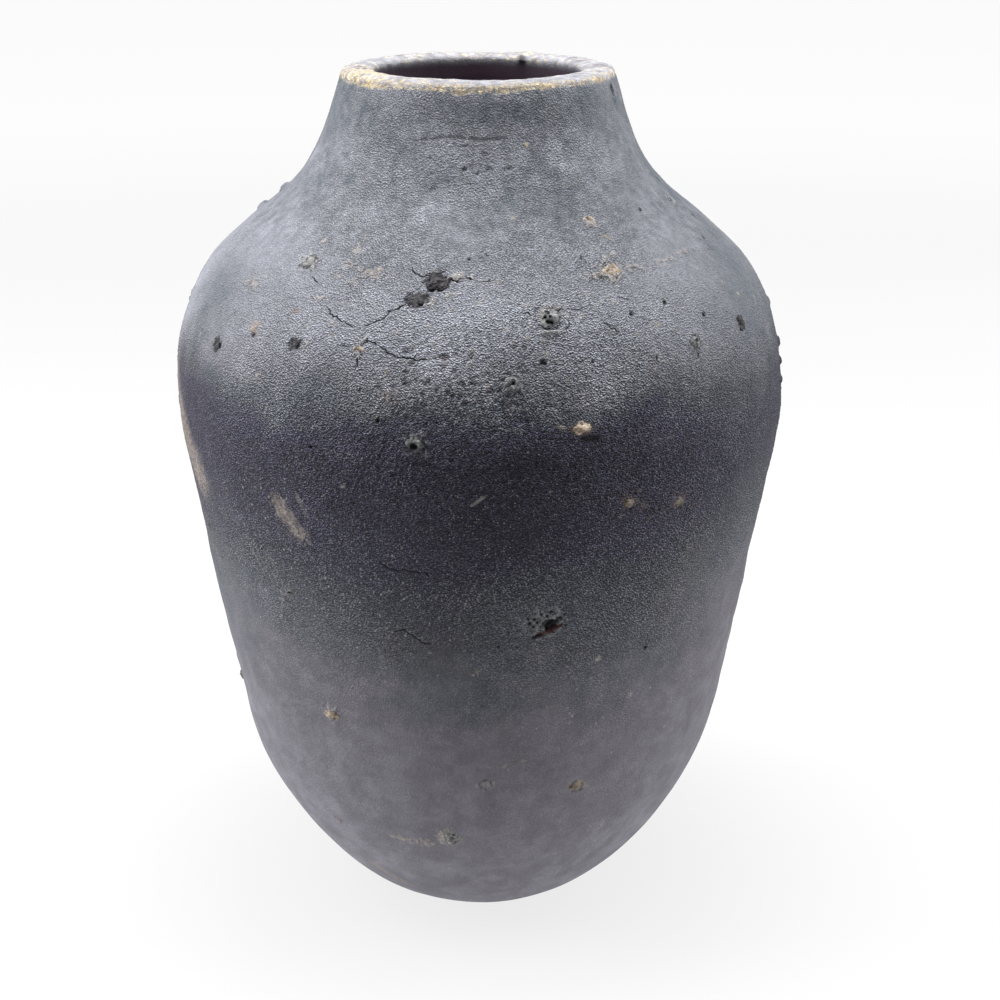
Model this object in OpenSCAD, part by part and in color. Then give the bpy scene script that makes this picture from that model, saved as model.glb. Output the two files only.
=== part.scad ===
// Black clay pot for storage: a small flat foot, a body that widens slowly to a high round
// shoulder, a short flared neck and a thick domed lip round a narrow mouth.
// The foot is pressed as a bowl. Eight wall courses of rolled clay stand on it, each one
// lapped on the last along a bevelled seam. A neck collar sits on the shoulder, and a rim
// coil closes the neck and forms the throat. Coarse grains in the clay sit in pockets.
// Millimetres, +Z up. The origin is the centre of the foot's underside.

/* [Pot] */
// Height from the foot to the crest of the lip
pot_h = 330; // [260:5:400]
// Widest outside diameter, at the shoulder
belly_d = 234; // [210:2:260]
// Outside diameter of the lip
mouth_d = 102; // [96:1:116]
// Diameter of the throat, the round hole inside the lip
throat_d = 77; // [68:1:82]

/* [Clay] */
// Thickness of the wall
wall = 11.5; // [9:0.5:13]
// Thickness of the floor
floor_t = 14; // [12:0.5:17]
// Length of the straight stretch of the throat
throat_len = 11; // [8:0.5:14]
// How far the lip's crest stands above its edges
lip_dome = 2.6; // [1.2:0.2:4]

/* [Seams] */
// Height of the pressed bowl
bowl_h = 42; // [34:1:54]
// How far each seam climbs between the outside of the wall and the inside
seam_rise = 8; // [3:0.5:10]

/* [Hidden] */

$fn = 96;
GRAIN_FN = 24;

// Outline of the body from the foot to the neck's seat: each station is a height in percent
// of pot_h and a radius in percent of the widest radius
BODY_OUTLINE = [
    [0, 39.8], [2.4, 48.7], [6, 58.4], [11.5, 69.2], [19, 79.3], [28, 85], [39.5, 90.6],
    [51, 95.3], [60.5, 99.5], [66, 99.6], [72.5, 96.3], [78.2, 88], [82.4, 76], [85.5, 65]
];
// Outline of the neck above its seat: each station is a height in percent of pot_h, and how
// far the neck still flares beyond the lip, in percent of its flare at the seat
NECK_OUTLINE = [[85.5, 100], [88.5, 60], [92.7, 28], [99.2, 0]];
// Places along each span of an outline
SPAN_STEPS = 4;
// Points closer than this to a seam are left out of the outline
SEAM_GAP = 0.6;
// Heights of the seams between the wall courses, as shares of the way from the bowl's top to
// the neck's seat
SEAMS = [0, 0.12, 0.24, 0.365, 0.49, 0.61, 0.725, 0.885, 1];
// The floor stays flat out to this share of the foot's radius
FLAT_FLOOR = 0.78;
// Height of the seam between the neck collar and the rim coil, as a share of pot_h
RIM_SEAM = 0.925;
// Roundness of the lip: 2 is an ellipse, and more is squarer
LIP_POWER = 2.6;
// Degrees between the points of the lip's dome
LIP_STEP = 12;

belly_r = belly_d / 2;
mouth_r = mouth_d / 2;
throat_r = throat_d / 2;
lip_z = pot_h - lip_dome;
throat_z = lip_z - throat_len;

body_stations = [for (s = BODY_OUTLINE) [belly_r * s[1] / 100, pot_h * s[0] / 100]];
seat = body_stations[len(body_stations) - 1];
neck_above_seat = [
    for (i = [1:len(NECK_OUTLINE) - 2])
        [mouth_r + (seat[0] - mouth_r) * NECK_OUTLINE[i][1] / 100, pot_h * NECK_OUTLINE[i][0] / 100],
    [mouth_r, lip_z]
];
stations = concat(body_stations, neck_above_seat);

// Distance from station i to the next
function chord(s, i) = norm(s[i + 1] - s[i]);

// Direction of the outline at station i
function slope(s, i) =
    i == 0 ? (s[1] - s[0]) / chord(s, 0)
    : i == len(s) - 1 ? (s[i] - s[i - 1]) / chord(s, i - 1)
    : (s[i + 1] - s[i - 1]) / (chord(s, i) + chord(s, i - 1));

// A point at share t of the way along the span that starts at station i
function on_span(s, i, t) =
    (2 * t ^ 3 - 3 * t ^ 2 + 1) * s[i]
    + (t ^ 3 - 2 * t ^ 2 + t) * chord(s, i) * slope(s, i)
    + (3 * t ^ 2 - 2 * t ^ 3) * s[i + 1]
    + (t ^ 3 - t ^ 2) * chord(s, i) * slope(s, i + 1);

// A smooth outline through the stations
function smooth(s) = [
    for (i = [0:len(s) - 2]) for (k = [0:SPAN_STEPS - 1]) on_span(s, i, k / SPAN_STEPS),
    s[len(s) - 1]
];

// Station i moved into the clay by t, square to the outline
function inward(s, i, t) = let (m = slope(s, i)) s[i] - t * [m[1], -m[0]] / norm(m);

// The outside breaks where the neck sits on the shoulder, so it is two smooth outlines
neck_outline = smooth(concat([seat], neck_above_seat));
outer = concat(smooth(body_stations), [for (i = [1:len(neck_outline) - 1]) neck_outline[i]]);
// The inside runs smoothly from the floor to the throat, with one point for each outer one
inner = smooth([
    [body_stations[0][0] * FLAT_FLOOR, floor_t],
    for (i = [1:len(stations) - 2]) inward(stations, i, wall),
    [throat_r, throat_z]
]);

outer_r_table = [for (p = outer) [p[1], p[0]]];
inner_r_table = [for (p = inner) [p[1], p[0]]];
across_wall_table = [for (i = [0:len(outer) - 1]) [outer[i][1], inner[i][1]]];

// A point on the outside at height z, and the inner end of the seam that starts there
function outside_at(z) = [lookup(z, outer_r_table), z];
function seam_end(z) =
    let (zi = lookup(z + seam_rise, across_wall_table)) [lookup(zi, inner_r_table), zi];

// The points of an outline between two heights, from low to high or from high to low
function between(s, low, high) = [for (p = s) if (p[1] > low + SEAM_GAP && p[1] < high - SEAM_GAP) p];
function reversed(s) = [for (i = [len(s) - 1:-1:0]) s[i]];

// Outer height of seam i, which is under course i
function seam_z(i) = bowl_h + (seat[1] - bowl_h) * SEAMS[i];
rim_z = pot_h * RIM_SEAM;

// Cross-section of a course between the seams at outer heights low and high
function course_outline(low, high) = concat(
    [outside_at(low)], between(outer, low, high), [outside_at(high), seam_end(high)],
    reversed(between(inner, seam_end(low)[1], seam_end(high)[1])), [seam_end(low)]
);

// The lip's dome, from the outer edge over the crest to the throat
lip_mid = (mouth_r + throat_r) / 2;
lip_half = (mouth_r - throat_r) / 2;
function squash(v) = sign(v) * abs(v) ^ (2 / LIP_POWER);
lip_points = [
    for (a = [LIP_STEP:LIP_STEP:180 - LIP_STEP])
        [lip_mid + lip_half * squash(cos(a)), lip_z + lip_dome * squash(sin(a))]
];

// Grains in the clay: each is a bearing in degrees round from the front (-Y) towards +X, a
// height in percent of pot_h, and a radius
LIME_GRAINS = [
    [13, 78.7, 3.2], [-10.5, 66.7, 2.8], [-40.5, 82.2, 2.4], [42.5, 74.7, 2.2],
    [-7, 17.2, 3.2], [-38, 47.2, 1.8], [104, 70, 2.8], [152, 34, 2.4], [-158, 75.5, 3],
    [-117, 52, 2.2], [178, 61.4, 2.6], [-84, 26, 2.2]
];
CINDER_GRAINS = [
    [-8.6, 81.8, 3.4], [-12.2, 80.2, 2.8], [-55.5, 73, 2.2], [-34.5, 75.2, 2],
    [58.5, 74.8, 2.2], [124, 79, 3.2], [-171, 71, 2.6], [-128, 80.5, 2.4], [166, 44, 2]
];
BUFF_GRAINS = [
    [17, 68.3, 2.6], [30, 82, 3.2], [31.5, 86.2, 1.8], [-45.5, 75.8, 1.8], [26, 59.6, 1.9],
    [37, 58.4, 2], [21.5, 24, 2.4], [-32.5, 32.3, 2.2], [-21.5, 75.6, 1.8],
    [112, 61, 2.4], [141, 82.5, 2.8], [-104, 73.5, 2.4], [-146, 40.6, 2.2], [-170, 24, 2]
];
// How deep the middle of a grain lies under the surface, as a share of its radius
LIME_SINK = 0.7;
CINDER_SINK = 0.55;
BUFF_SINK = 0.4;
// Least clay between a grain's pocket and a seam
POCKET_CLEAR = 0.15;
// Step and count of the moves tried, down and up, for a grain that lies too near a seam
NUDGE = 0.5;
NUDGES = 24;

// Middle of a grain of radius r at height z, in the plane of the outline
function grain_middle(z, r, sink) =
    let (along = outside_at(z + 1) - outside_at(z - 1))
        outside_at(z) - r * sink * [along[1], -along[0]] / norm(along);

// Distance from point p to the seam that starts at outer height h
function to_seam(p, h) =
    let (a = outside_at(h), m = seam_end(h) - a, t = min(1, max(0, (p - a) * m / (m * m))))
        norm(p - a - t * m);

seam_heights = [for (i = [0:len(SEAMS) - 1]) seam_z(i), rim_z];
function is_clear(z, r, sink) =
    min([for (h = seam_heights) to_seam(grain_middle(z, r, sink), h)]) > r + POCKET_CLEAR;

// The grains with their heights in mm, each as near its own height as the seams allow
function placed(grains, sink) = [
    for (g = grains)
        let (
            z = pot_h * g[1] / 100,
            tries = [for (k = [0:NUDGES]) for (way = [-1, 1]) z + way * k * NUDGE],
            clear = [for (t = tries) if (is_clear(t, g[2], sink)) t]
        )
            [g[0], len(clear) > 0 ? clear[0] : z, g[2]]
];
lime_places = placed(LIME_GRAINS, LIME_SINK);
cinder_places = placed(CINDER_GRAINS, CINDER_SINK);
buff_places = placed(BUFF_GRAINS, BUFF_SINK);

module grain(g, sink) {
    middle = grain_middle(g[1], g[2], sink);
    rotate([0, 0, g[0] - 90])
        translate([middle[0], 0, middle[1]])
            sphere(g[2], $fn = GRAIN_FN);
}

// The placed grains whose height lies between two outer heights, with a grain's width to spare
module grains_between(places, sink, low, high) {
    for (g = places)
        if (g[1] > low - 2 * g[2] - seam_rise && g[1] < high + 2 * g[2])
            grain(g, sink);
}

// A ring of clay turned from its cross-section, with pockets where its grains sit
module clay_ring(outline, low, high) {
    difference() {
        rotate_extrude() polygon(outline);
        grains_between(lime_places, LIME_SINK, low, high);
        grains_between(cinder_places, CINDER_SINK, low, high);
        grains_between(buff_places, BUFF_SINK, low, high);
    }
}

module foot_bowl() {
    outline = concat(
        [[0, 0]], [outer[0]], between(outer, 0, bowl_h), [outside_at(bowl_h), seam_end(bowl_h)],
        reversed(between(inner, floor_t, seam_end(bowl_h)[1])), [inner[0], [0, floor_t]]
    );
    color("#4a4b52") clay_ring(outline, 0, bowl_h);
}

module wall_course(i) {
    color(i % 2 == 0 ? "#3e4048" : "#45474f")
        clay_ring(course_outline(seam_z(i), seam_z(i + 1)), seam_z(i), seam_z(i + 1));
}

module neck_collar() {
    color("#55575e") clay_ring(course_outline(seat[1], rim_z), seat[1], rim_z);
}

module rim_coil() {
    outline = concat(
        [outside_at(rim_z)], between(outer, rim_z, lip_z), [[mouth_r, lip_z]], lip_points,
        [[throat_r, lip_z], [throat_r, throat_z]],
        reversed(between(inner, seam_end(rim_z)[1], throat_z)), [seam_end(rim_z)]
    );
    color("#6f6a5e") rotate_extrude() polygon(outline);
}

module lime_nodules() {
    color("#cfcabb") for (g = lime_places) grain(g, LIME_SINK);
}

module cinder_lumps() {
    color("#26262a") for (g = cinder_places) grain(g, CINDER_SINK);
}

module buff_grit() {
    color("#a5845c") for (g = buff_places) grain(g, BUFF_SINK);
}

foot_bowl();
wall_course(0);  // lower_wall_1
wall_course(1);  // lower_wall_2
wall_course(2);  // lower_wall_3
wall_course(3);  // middle_wall_1
wall_course(4);  // middle_wall_2
wall_course(5);  // middle_wall_3
wall_course(6);  // shoulder_1
wall_course(7);  // shoulder_2
neck_collar();
rim_coil();
lime_nodules();
cinder_lumps();
buff_grit();
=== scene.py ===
import math

import bmesh
import bpy
import numpy as np
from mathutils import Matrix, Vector
from mathutils.bvhtree import BVHTree


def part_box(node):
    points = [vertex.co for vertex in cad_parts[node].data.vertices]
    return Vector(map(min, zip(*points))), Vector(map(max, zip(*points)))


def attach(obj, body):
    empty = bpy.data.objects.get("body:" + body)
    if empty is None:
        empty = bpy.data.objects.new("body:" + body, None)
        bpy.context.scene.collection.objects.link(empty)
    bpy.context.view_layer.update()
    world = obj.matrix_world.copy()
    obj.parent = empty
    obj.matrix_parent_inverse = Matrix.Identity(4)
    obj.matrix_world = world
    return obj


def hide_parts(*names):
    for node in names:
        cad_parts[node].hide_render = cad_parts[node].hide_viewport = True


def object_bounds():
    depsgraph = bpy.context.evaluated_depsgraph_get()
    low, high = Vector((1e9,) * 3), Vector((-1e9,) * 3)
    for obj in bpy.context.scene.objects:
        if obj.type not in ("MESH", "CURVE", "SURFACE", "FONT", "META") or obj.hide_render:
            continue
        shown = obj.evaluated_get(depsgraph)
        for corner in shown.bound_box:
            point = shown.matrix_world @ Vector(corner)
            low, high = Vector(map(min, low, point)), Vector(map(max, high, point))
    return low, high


# The looks of a black clay pot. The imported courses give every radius, height and seam. This
# script builds the skin that the real courses have: sandy, smoked, cracked and worn.
# Lengths in the tables below are millimetres. A bearing is in degrees round from the front
# (-Y) towards +X, and a height is above the foot.

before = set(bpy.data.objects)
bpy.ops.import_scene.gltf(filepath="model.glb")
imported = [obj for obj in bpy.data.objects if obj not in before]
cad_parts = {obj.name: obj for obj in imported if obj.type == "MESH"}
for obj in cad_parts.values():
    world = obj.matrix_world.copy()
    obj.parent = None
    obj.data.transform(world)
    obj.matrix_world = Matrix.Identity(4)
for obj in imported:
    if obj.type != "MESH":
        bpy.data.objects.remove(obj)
cad_low, cad_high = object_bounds()

MM = 0.001
CLAY = (
    "foot_bowl", "lower_wall_1", "lower_wall_2", "lower_wall_3", "middle_wall_1",
    "middle_wall_2", "middle_wall_3", "shoulder_1", "shoulder_2", "neck_collar", "rim_coil",
)
GRAIN_GROUPS = ("lime_nodules", "cinder_lumps", "buff_grit")

COLUMNS = 1380         # columns of the outer skin
JOIN = 3               # outer columns to each column of the inside
FRONT_CLOSER = 2.5     # how many times closer together the columns are at the front
# Distance between rows of the outer skin in each course, finest where the sand is roughest
COURSE_ROW = (1.1, 0.8, 0.8, 0.75, 0.5, 0.46, 0.46, 0.62, 0.56, 0.48, 0.42)
THROAT_ROW = 1.1
INNER_ROW = 2.4        # distance between rows of the inside
CLEAR_BEARING = 75     # no grain lies on this bearing, so the bare courses are measured here
SEED = 11


def smooth(low, high, x):
    t = np.clip((x - low) / (high - low), 0, 1)
    return t * t * (3 - 2 * t)


def bell(x, width):
    return np.exp(-((x / width) ** 2))


def by_height(table, z):
    """The value of a table of heights and values, at height z."""
    return np.interp(z, *np.array(table).T)


STIR = (374761393, 668265263, 1442695041)


def lattice(points, cell, seed):
    """Smooth bumps about one cell wide, from about -1 to 1, fixed by the place and the seed."""
    q = points / cell + (seed * 17.31 + 400.7)
    corner = np.floor(q).astype(np.int64)
    f = (q - corner).astype(np.float32)
    w = f * f * f * (f * (f * 6 - 15) + 10)
    total = np.zeros(points.shape[:-1], np.float32)
    for step in np.ndindex(2, 2, 2):
        n = sum((corner[..., a] + step[a]) * STIR[a] for a in range(3)) + seed * 1274126177
        n = (n ^ (n >> 13)) * 1274126177
        n = (n ^ (n >> 16)) * 1597334677
        n = n ^ (n >> 15)
        dot, weight = 0, 1
        for a in range(3):
            slope = (((n >> 10 * a) & 1023) / 511.5 - 1).astype(np.float32)
            dot = dot + slope * (f[..., a] - step[a])
            weight = weight * (w[..., a] if step[a] else 1 - w[..., a])
        total += dot * weight
    return total * 1.7


# ---- outline, from the frame

def node_mesh(name):
    """Vertices in mm and triangles of a CAD node."""
    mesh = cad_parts[name].data
    points = np.empty(len(mesh.vertices) * 3, np.float32)
    mesh.vertices.foreach_get("co", points)
    corners = np.empty(len(mesh.loops), np.int32)
    mesh.loops.foreach_get("vertex_index", corners)
    return points.reshape(-1, 3).astype(float) / MM, corners.reshape(-1, 3)


def clay_tree():
    points, faces, start = [], [], 0
    for name in CLAY:
        p, f = node_mesh(name)
        points.append(p)
        faces.append(f + start)
        start += len(p)
    return BVHTree.FromPolygons(np.vstack(points).tolist(), np.vstack(faces).tolist())


tree = clay_tree()
side = Vector((math.sin(math.radians(CLEAR_BEARING)), -math.cos(math.radians(CLEAR_BEARING)), 0))
top_z = cad_high.z / MM
seat_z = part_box("neck_collar")[0].z / MM
seam_out = [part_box(name)[0].z / MM for name in CLAY[1:]]
seam_in = [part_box(name)[1].z / MM for name in CLAY[:-1]]


def outer_radius(z):
    hit = tree.ray_cast(side * 400 + Vector((0, 0, z)), -side)[0]
    return math.hypot(hit.x, hit.y)


def inner_radius(z):
    hit = tree.ray_cast(Vector((0, 0, z)), side)[0]
    return math.hypot(hit.x, hit.y)


def crest(r):
    return tree.ray_cast(side * r + Vector((0, 0, top_z + 50)), Vector((0, 0, -1)))[0].z


def floor_height(r):
    return tree.ray_cast(side * r + Vector((0, 0, 80)), Vector((0, 0, -1)))[0].z


def spaced(path, step):
    """The path, an array of radius and height, with points a step apart along it."""
    along = np.r_[0, np.cumsum(np.hypot(*np.diff(path, axis=0).T))]
    count = max(2, int(round(along[-1] / step)) + 1)
    s = np.linspace(0, along[-1], count)
    return np.c_[np.interp(s, along, path[:, 0]), np.interp(s, along, path[:, 1])]


def eased(path, reach, step=0.25):
    """The path with its flat facets smoothed over a reach on each side, ends kept."""
    p = spaced(path, step)
    n = int(reach * 3 / step)
    k = np.exp(-0.5 * (np.arange(-n, n + 1) * step / reach) ** 2)
    k /= k.sum()
    padded = np.vstack([2 * p[0] - p[n:0:-1], p, 2 * p[-1] - p[-2:-n - 2:-1]])
    return np.c_[np.convolve(padded[:, 0], k, "valid"), np.convolve(padded[:, 1], k, "valid")]


# The lip's edge is where the outside stops being a wall: its radius hardly changes above it
lip_z = top_z - 2.6
mouth_r = outer_radius(lip_z - 0.1)
throat_r = inner_radius(lip_z - 3)
throat_low = next(
    z for z in np.arange(lip_z - 3, lip_z - 30, -0.25) if inner_radius(z) > throat_r + 0.15
)
FOOT_ROUND = 2.2

body = eased(np.array([[outer_radius(z), z] for z in np.arange(0.4, seat_z, 0.8)]), 2.4)
neck = eased(np.array([[outer_radius(z), z] for z in np.arange(seat_z + 0.3, lip_z, 0.8)]), 2)
dome = spaced(
    np.array(
        [[mouth_r, lip_z]]
        + [[r, crest(r)] for r in np.linspace(mouth_r - 0.12, throat_r + 0.12, 60)]
        + [[throat_r, lip_z]]
    ),
    0.25,
)
start_r = body[0, 0] - FOOT_ROUND
edge_t = np.linspace(0, 1, 12)[:, None]
edge_to = body[int(FOOT_ROUND * 1.3 / 0.25)]
foot_edge = (
    (1 - edge_t) ** 2 * [start_r, 0]
    + 2 * edge_t * (1 - edge_t) * [body[0, 0] - 0.2, 0]
    + edge_t**2 * edge_to
)
body = body[int(FOOT_ROUND * 1.3 / 0.25) + 1:]
outside = np.vstack([foot_edge, body, neck, dome, [[throat_r, lip_z - 0.2], [throat_r, throat_low]]])
outside = spaced(outside, 0.2)
along_out = np.r_[0, np.cumsum(np.hypot(*np.diff(outside, axis=0).T))]
crest_at = int(np.argmax(outside[:, 1]))
along_lip = float(np.interp(lip_z, outside[:crest_at, 1], along_out[:crest_at]))
throat_at = along_out[-1] - (lip_z - throat_low)

inside = eased(
    np.array([[inner_radius(z), z] for z in np.arange(throat_low - 0.5, 15.2, -0.8)]), 3.0
)
floor_r = inside[-1, 0] - 1.0
inside = np.vstack([inside, [[r, floor_height(r)] for r in np.linspace(floor_r, 1.5, 16)]])
along_in = np.r_[0, np.cumsum(np.hypot(*np.diff(inside, axis=0).T))]


def arc_at(z):
    """Length along the outside, from the foot's edge, at a height."""
    return float(np.interp(z, outside[:crest_at, 1], along_out[:crest_at]))


def wall_radius(z):
    return float(np.interp(z, outside[:crest_at, 1], outside[:crest_at, 0]))


# ---- the grid of the skin

round_deg = np.linspace(-180, 180, 3601)
closeness = 1 + (FRONT_CLOSER - 1) * smooth(100, 58, np.abs(round_deg))
column_at = np.r_[0, np.cumsum((closeness[1:] + closeness[:-1]) / 2)]
bearing_deg = np.interp(np.arange(COLUMNS) / COLUMNS * column_at[-1], column_at, round_deg)
bearing = np.radians(bearing_deg)

stops = [0] + [arc_at(z) for z in seam_out] + [throat_at, along_out[-1]]
rows, course_rows = [0], []
for k in range(len(stops) - 1):
    pitch = THROAT_ROW if k == len(stops) - 2 else COURSE_ROW[k]
    count = max(2, math.ceil((stops[k + 1] - stops[k]) / pitch))
    first = len(rows) - 1
    rows += list(np.linspace(stops[k], stops[k + 1], count + 1)[1:])
    course_rows.append((first, len(rows) - 1))
course_rows[-2] = (course_rows[-2][0], course_rows[-1][1])
course_rows.pop()

S = np.array(rows)     # arc length of each row
R = np.interp(S, along_out, outside[:, 0])
Z = np.interp(S, along_out, outside[:, 1])


def change(values):
    """How a value changes along the outside, over a short stretch each way."""
    return sum(np.interp(S + d, along_out, values) * np.sign(d) for d in (-1.2, -0.6, 0.6, 1.2))


dr, dz = change(outside[:, 0]), change(outside[:, 1])
NR, NZ = dz / np.hypot(dr, dz), -dr / np.hypot(dr, dz)


def ring_points(r, z, b):
    """Points at radii r and heights z by bearings b."""
    return np.stack(
        [r[:, None] * np.sin(b), -r[:, None] * np.cos(b), np.repeat(z[:, None], len(b), 1)], -1
    )


base = ring_points(R, Z, bearing)
across = np.stack(
    [NR[:, None] * np.sin(bearing), -NR[:, None] * np.cos(bearing),
     np.repeat(NZ[:, None], COLUMNS, 1)], -1
)
shape = base.shape[:2]
bear = np.broadcast_to(bearing_deg, shape)
zz = np.broadcast_to(Z[:, None], shape)

n_fine = lattice(base, 0.85, 10)
n_sand = lattice(base, 1.3, 1)
n_grit = lattice(base, 2.1, 2)
n_pebble = lattice(base, 3.6, 3)
n_mid = lattice(base, 8, 4)
n_hand = lattice(base, 26, 5)
n_big = lattice(base, 60, 6)
n_cloud = lattice(base * [1, 1, 1.5], 34, 7)
n_wisp = lattice(base * [1, 1, 0.7], 12, 8)

relief = np.zeros(shape, np.float32)
paint = {
    name: np.zeros(shape, np.float32)
    for name in ("tan", "cream", "lime", "red", "dark", "crack_k")
}
paint["crack_d"] = np.full(shape, 3, np.float32)


def turn_to(b, b0):
    return (b - b0 + 180) % 360 - 180


def window(b, z, reach):
    """The part of the grid within reach of a place: its index, and how far right and up."""
    s0 = arc_at(z)
    r0 = wall_radius(z)
    i = np.nonzero(np.abs(S - s0) < reach)[0]
    j = np.nonzero(np.abs(np.radians(turn_to(bearing_deg, b))) * r0 < reach)[0]
    u = np.radians(turn_to(bearing_deg[j], b))[None, :] * R[i][:, None]
    v = np.repeat((S[i] - s0)[:, None], len(j), 1)
    return np.ix_(i, j), u, v


def stain(name, amount):
    """Stains the whole grid by an amount at each place."""
    paint[name] = np.maximum(paint[name], amount)


def press(ix, m, lift, stains):
    """Lifts and stains part of the grid, as strongly as m says."""
    relief[ix] += lift * m
    for name, amount in stains.items():
        paint[name][ix] = np.maximum(paint[name][ix], amount * m)


def from_middle(u, v, w, h, angle):
    """Distance from the middle of an oval, which is 1 at its edge."""
    c, s = math.cos(math.radians(angle)), math.sin(math.radians(angle))
    return np.hypot((u * c + v * s) / (w / 2), (v * c - u * s) / (h / 2))


def blob(b, z, w, h, lift=0, angle=0, soft=0.3, ragged=0.3, ring=0, **stains):
    """An oval patch w by h. With ring, only a band that wide (as a share) round its edge."""
    ix, u, v = window(b, z, max(w, h) * 0.95 + 1.5)
    d = from_middle(u, v, w, h, angle) + ragged * (0.7 * n_sand[ix] + 0.6 * n_pebble[ix])
    m = bell(d - 1, ring) if ring else smooth(1 + soft, 1 - soft, d)
    press(ix, m, lift, stains)


def local(points):
    """The points of a line, as bearings and heights, in mm right and up of the first."""
    b0, z0 = points[0]
    s0 = arc_at(z0)
    return np.array(
        [[math.radians(turn_to(b, b0)) * wall_radius(z), arc_at(z) - s0] for b, z in points]
    )


def along_line(p, u, v):
    """Signed distance from the line p, and how far along it the nearest point is, 0 to 1."""
    best = np.full(u.shape, 1e3)
    signed = np.full(u.shape, 1e3)
    share = np.zeros(u.shape)
    lengths = np.hypot(*np.diff(p, axis=0).T)
    done = np.r_[0, np.cumsum(lengths)] / lengths.sum()
    for k in range(len(p) - 1):
        a, m = p[k], p[k + 1] - p[k]
        t = ((u - a[0]) * m[0] + (v - a[1]) * m[1]) / (m @ m)
        end = ((k == 0) & (t < 0)) | ((k == len(p) - 2) & (t > 1))
        t = np.clip(t, 0, 1)
        x, y = u - a[0] - t * m[0], v - a[1] - t * m[1]
        d = np.hypot(x, y)
        near = d < best
        best = np.where(near, d, best)
        signed = np.where(near, d * np.where(m[0] * y - m[1] * x >= 0, 1, -1), signed)
        share = np.where(near, np.where(end, -1, done[k] + t * (done[k + 1] - done[k])), share)
    return signed, share


def stroke(points, width, lift=0, soft=0.4, ragged=0.35, streak=0, **stains):
    """A worn or stained streak along a line. Streak breaks it into lines along its length."""
    p = local(points)
    reach = float(np.abs(p).max()) + width * 1.5 + 1
    ix, u, v = window(*points[0], reach)
    signed, _ = along_line(p, u, v)
    d = np.abs(signed) / (width / 2) + ragged * (0.6 * n_sand[ix] + 0.8 * n_pebble[ix])
    m = smooth(1 + soft, 1 - soft, d)
    if streak:
        m = m * (1 - streak * smooth(0.1, 0.7, np.sin(signed * 5.1 + 3 * n_pebble[ix])))
    press(ix, m, lift, stains)


def crack(points, strength=1, seed=0, fray=0.32):
    """A thin jagged crack, which fades at both ends."""
    rng = np.random.default_rng(SEED * 1000 + seed)
    p = local(points)
    fine = [p[0]]
    for a, c in zip(p[:-1], p[1:]):
        n = max(1, int(np.hypot(*(c - a)) / 0.85))
        side_way = np.array([-(c - a)[1], (c - a)[0]]) / max(np.hypot(*(c - a)), 1e-6)
        for i in range(1, n + 1):
            wander = rng.normal(0, fray) if i < n else 0
            fine.append(a + (c - a) * i / n + side_way * wander)
    p = np.array(fine)
    reach = float(np.abs(p).max()) + 3
    ix, u, v = window(*points[0], reach)
    signed, share = along_line(p, u, v)
    k = np.where(share < 0, 0, smooth(0, 0.12, share) * smooth(1, 0.85, share)) * strength
    k = k * np.clip(0.8 + 0.7 * n_grit[ix] + 0.5 * n_pebble[ix], 0.1, 1.2)
    relief[ix] += k * (
        -0.3 * bell(signed, 0.38) + 0.12 * bell(signed - 0.9, 0.6)
    )
    closer = (np.abs(signed) < np.abs(paint["crack_d"][ix])) & (np.abs(signed) < 2.5)
    paint["crack_d"][ix] = np.where(closer, signed, paint["crack_d"][ix])
    paint["crack_k"][ix] = np.where(closer, k, paint["crack_k"][ix])


def shifted(b, z, right, up):
    """A place that many mm to the right and up along the skin."""
    r = wall_radius(z)
    s = arc_at(z) + up
    height = float(np.interp(s, along_out[:crest_at], outside[:crest_at, 1]))
    return b + math.degrees(right / r), height


def pit(b, z, w, h=None, depth=0.8, red=0, rim=0.12, angle=0):
    """A pore with a slightly raised edge, its hollow painted dark as painted shade."""
    h = h or w
    blob(b, z, w * 1.6, h * 1.6, lift=rim, ring=0.25, ragged=0.2, angle=angle)
    blob(b, z, w, h, lift=-depth, dark=1, soft=0.35, ragged=0.25, angle=angle)
    if red:
        blob(b, z, w * 1.25, h * 1.25, soft=0.4, ragged=0.3, red=red, angle=angle)


def crumbs(b, z, w, h, amount=0, lift=0.3, angle=0, **stains):
    """Small crusts and crumbs scattered in an oval, closer together towards its middle."""
    ix, u, v = window(b, z, max(w, h) * 0.8 + 1.5)
    d = from_middle(u, v, w, h, angle)
    heap = 0.8 * n_grit[ix] + 0.6 * n_sand[ix] + 0.35 * n_fine[ix] + 0.9 * (1 - d) + amount
    m = smooth(0.25, 0.6, heap) * smooth(1.5, 1, d)
    relief[ix] += lift * m * (1 + 0.8 * n_sand[ix])
    for name, amount in stains.items():
        paint[name][ix] = np.maximum(paint[name][ix], amount * m * (0.75 + 0.5 * n_fine[ix]))


def lime_pop(b, z, w, hole=(0, 0.1, 0.3), bright=0.75):
    """The seat of a burst lime grain: a low crumbly mound with a pale edge, and a hole or a gap; the gap
    and any hole are painted dark as painted shade.
    """
    blob(b, z, w * 1.6, w * 1.5, lift=0.25, soft=0.45, ragged=0.4, lime=0.15 * bright)
    crumbs(b, z, w * 1.7, w * 1.5, amount=0.1, lift=0.25, lime=0.8 * bright)
    blob(b, z, w * 1.05, w * 0.98, lift=-0.3, ring=0.13, ragged=0.25, dark=0.55)
    if hole:
        blob(b, z, w * 0.92, w * 0.86, lift=0.42, ring=0.2, ragged=0.35, lime=bright)
        pit(*shifted(b, z, hole[0] * w, hole[1] * w), hole[2] * w, depth=1.3, rim=0)


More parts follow.
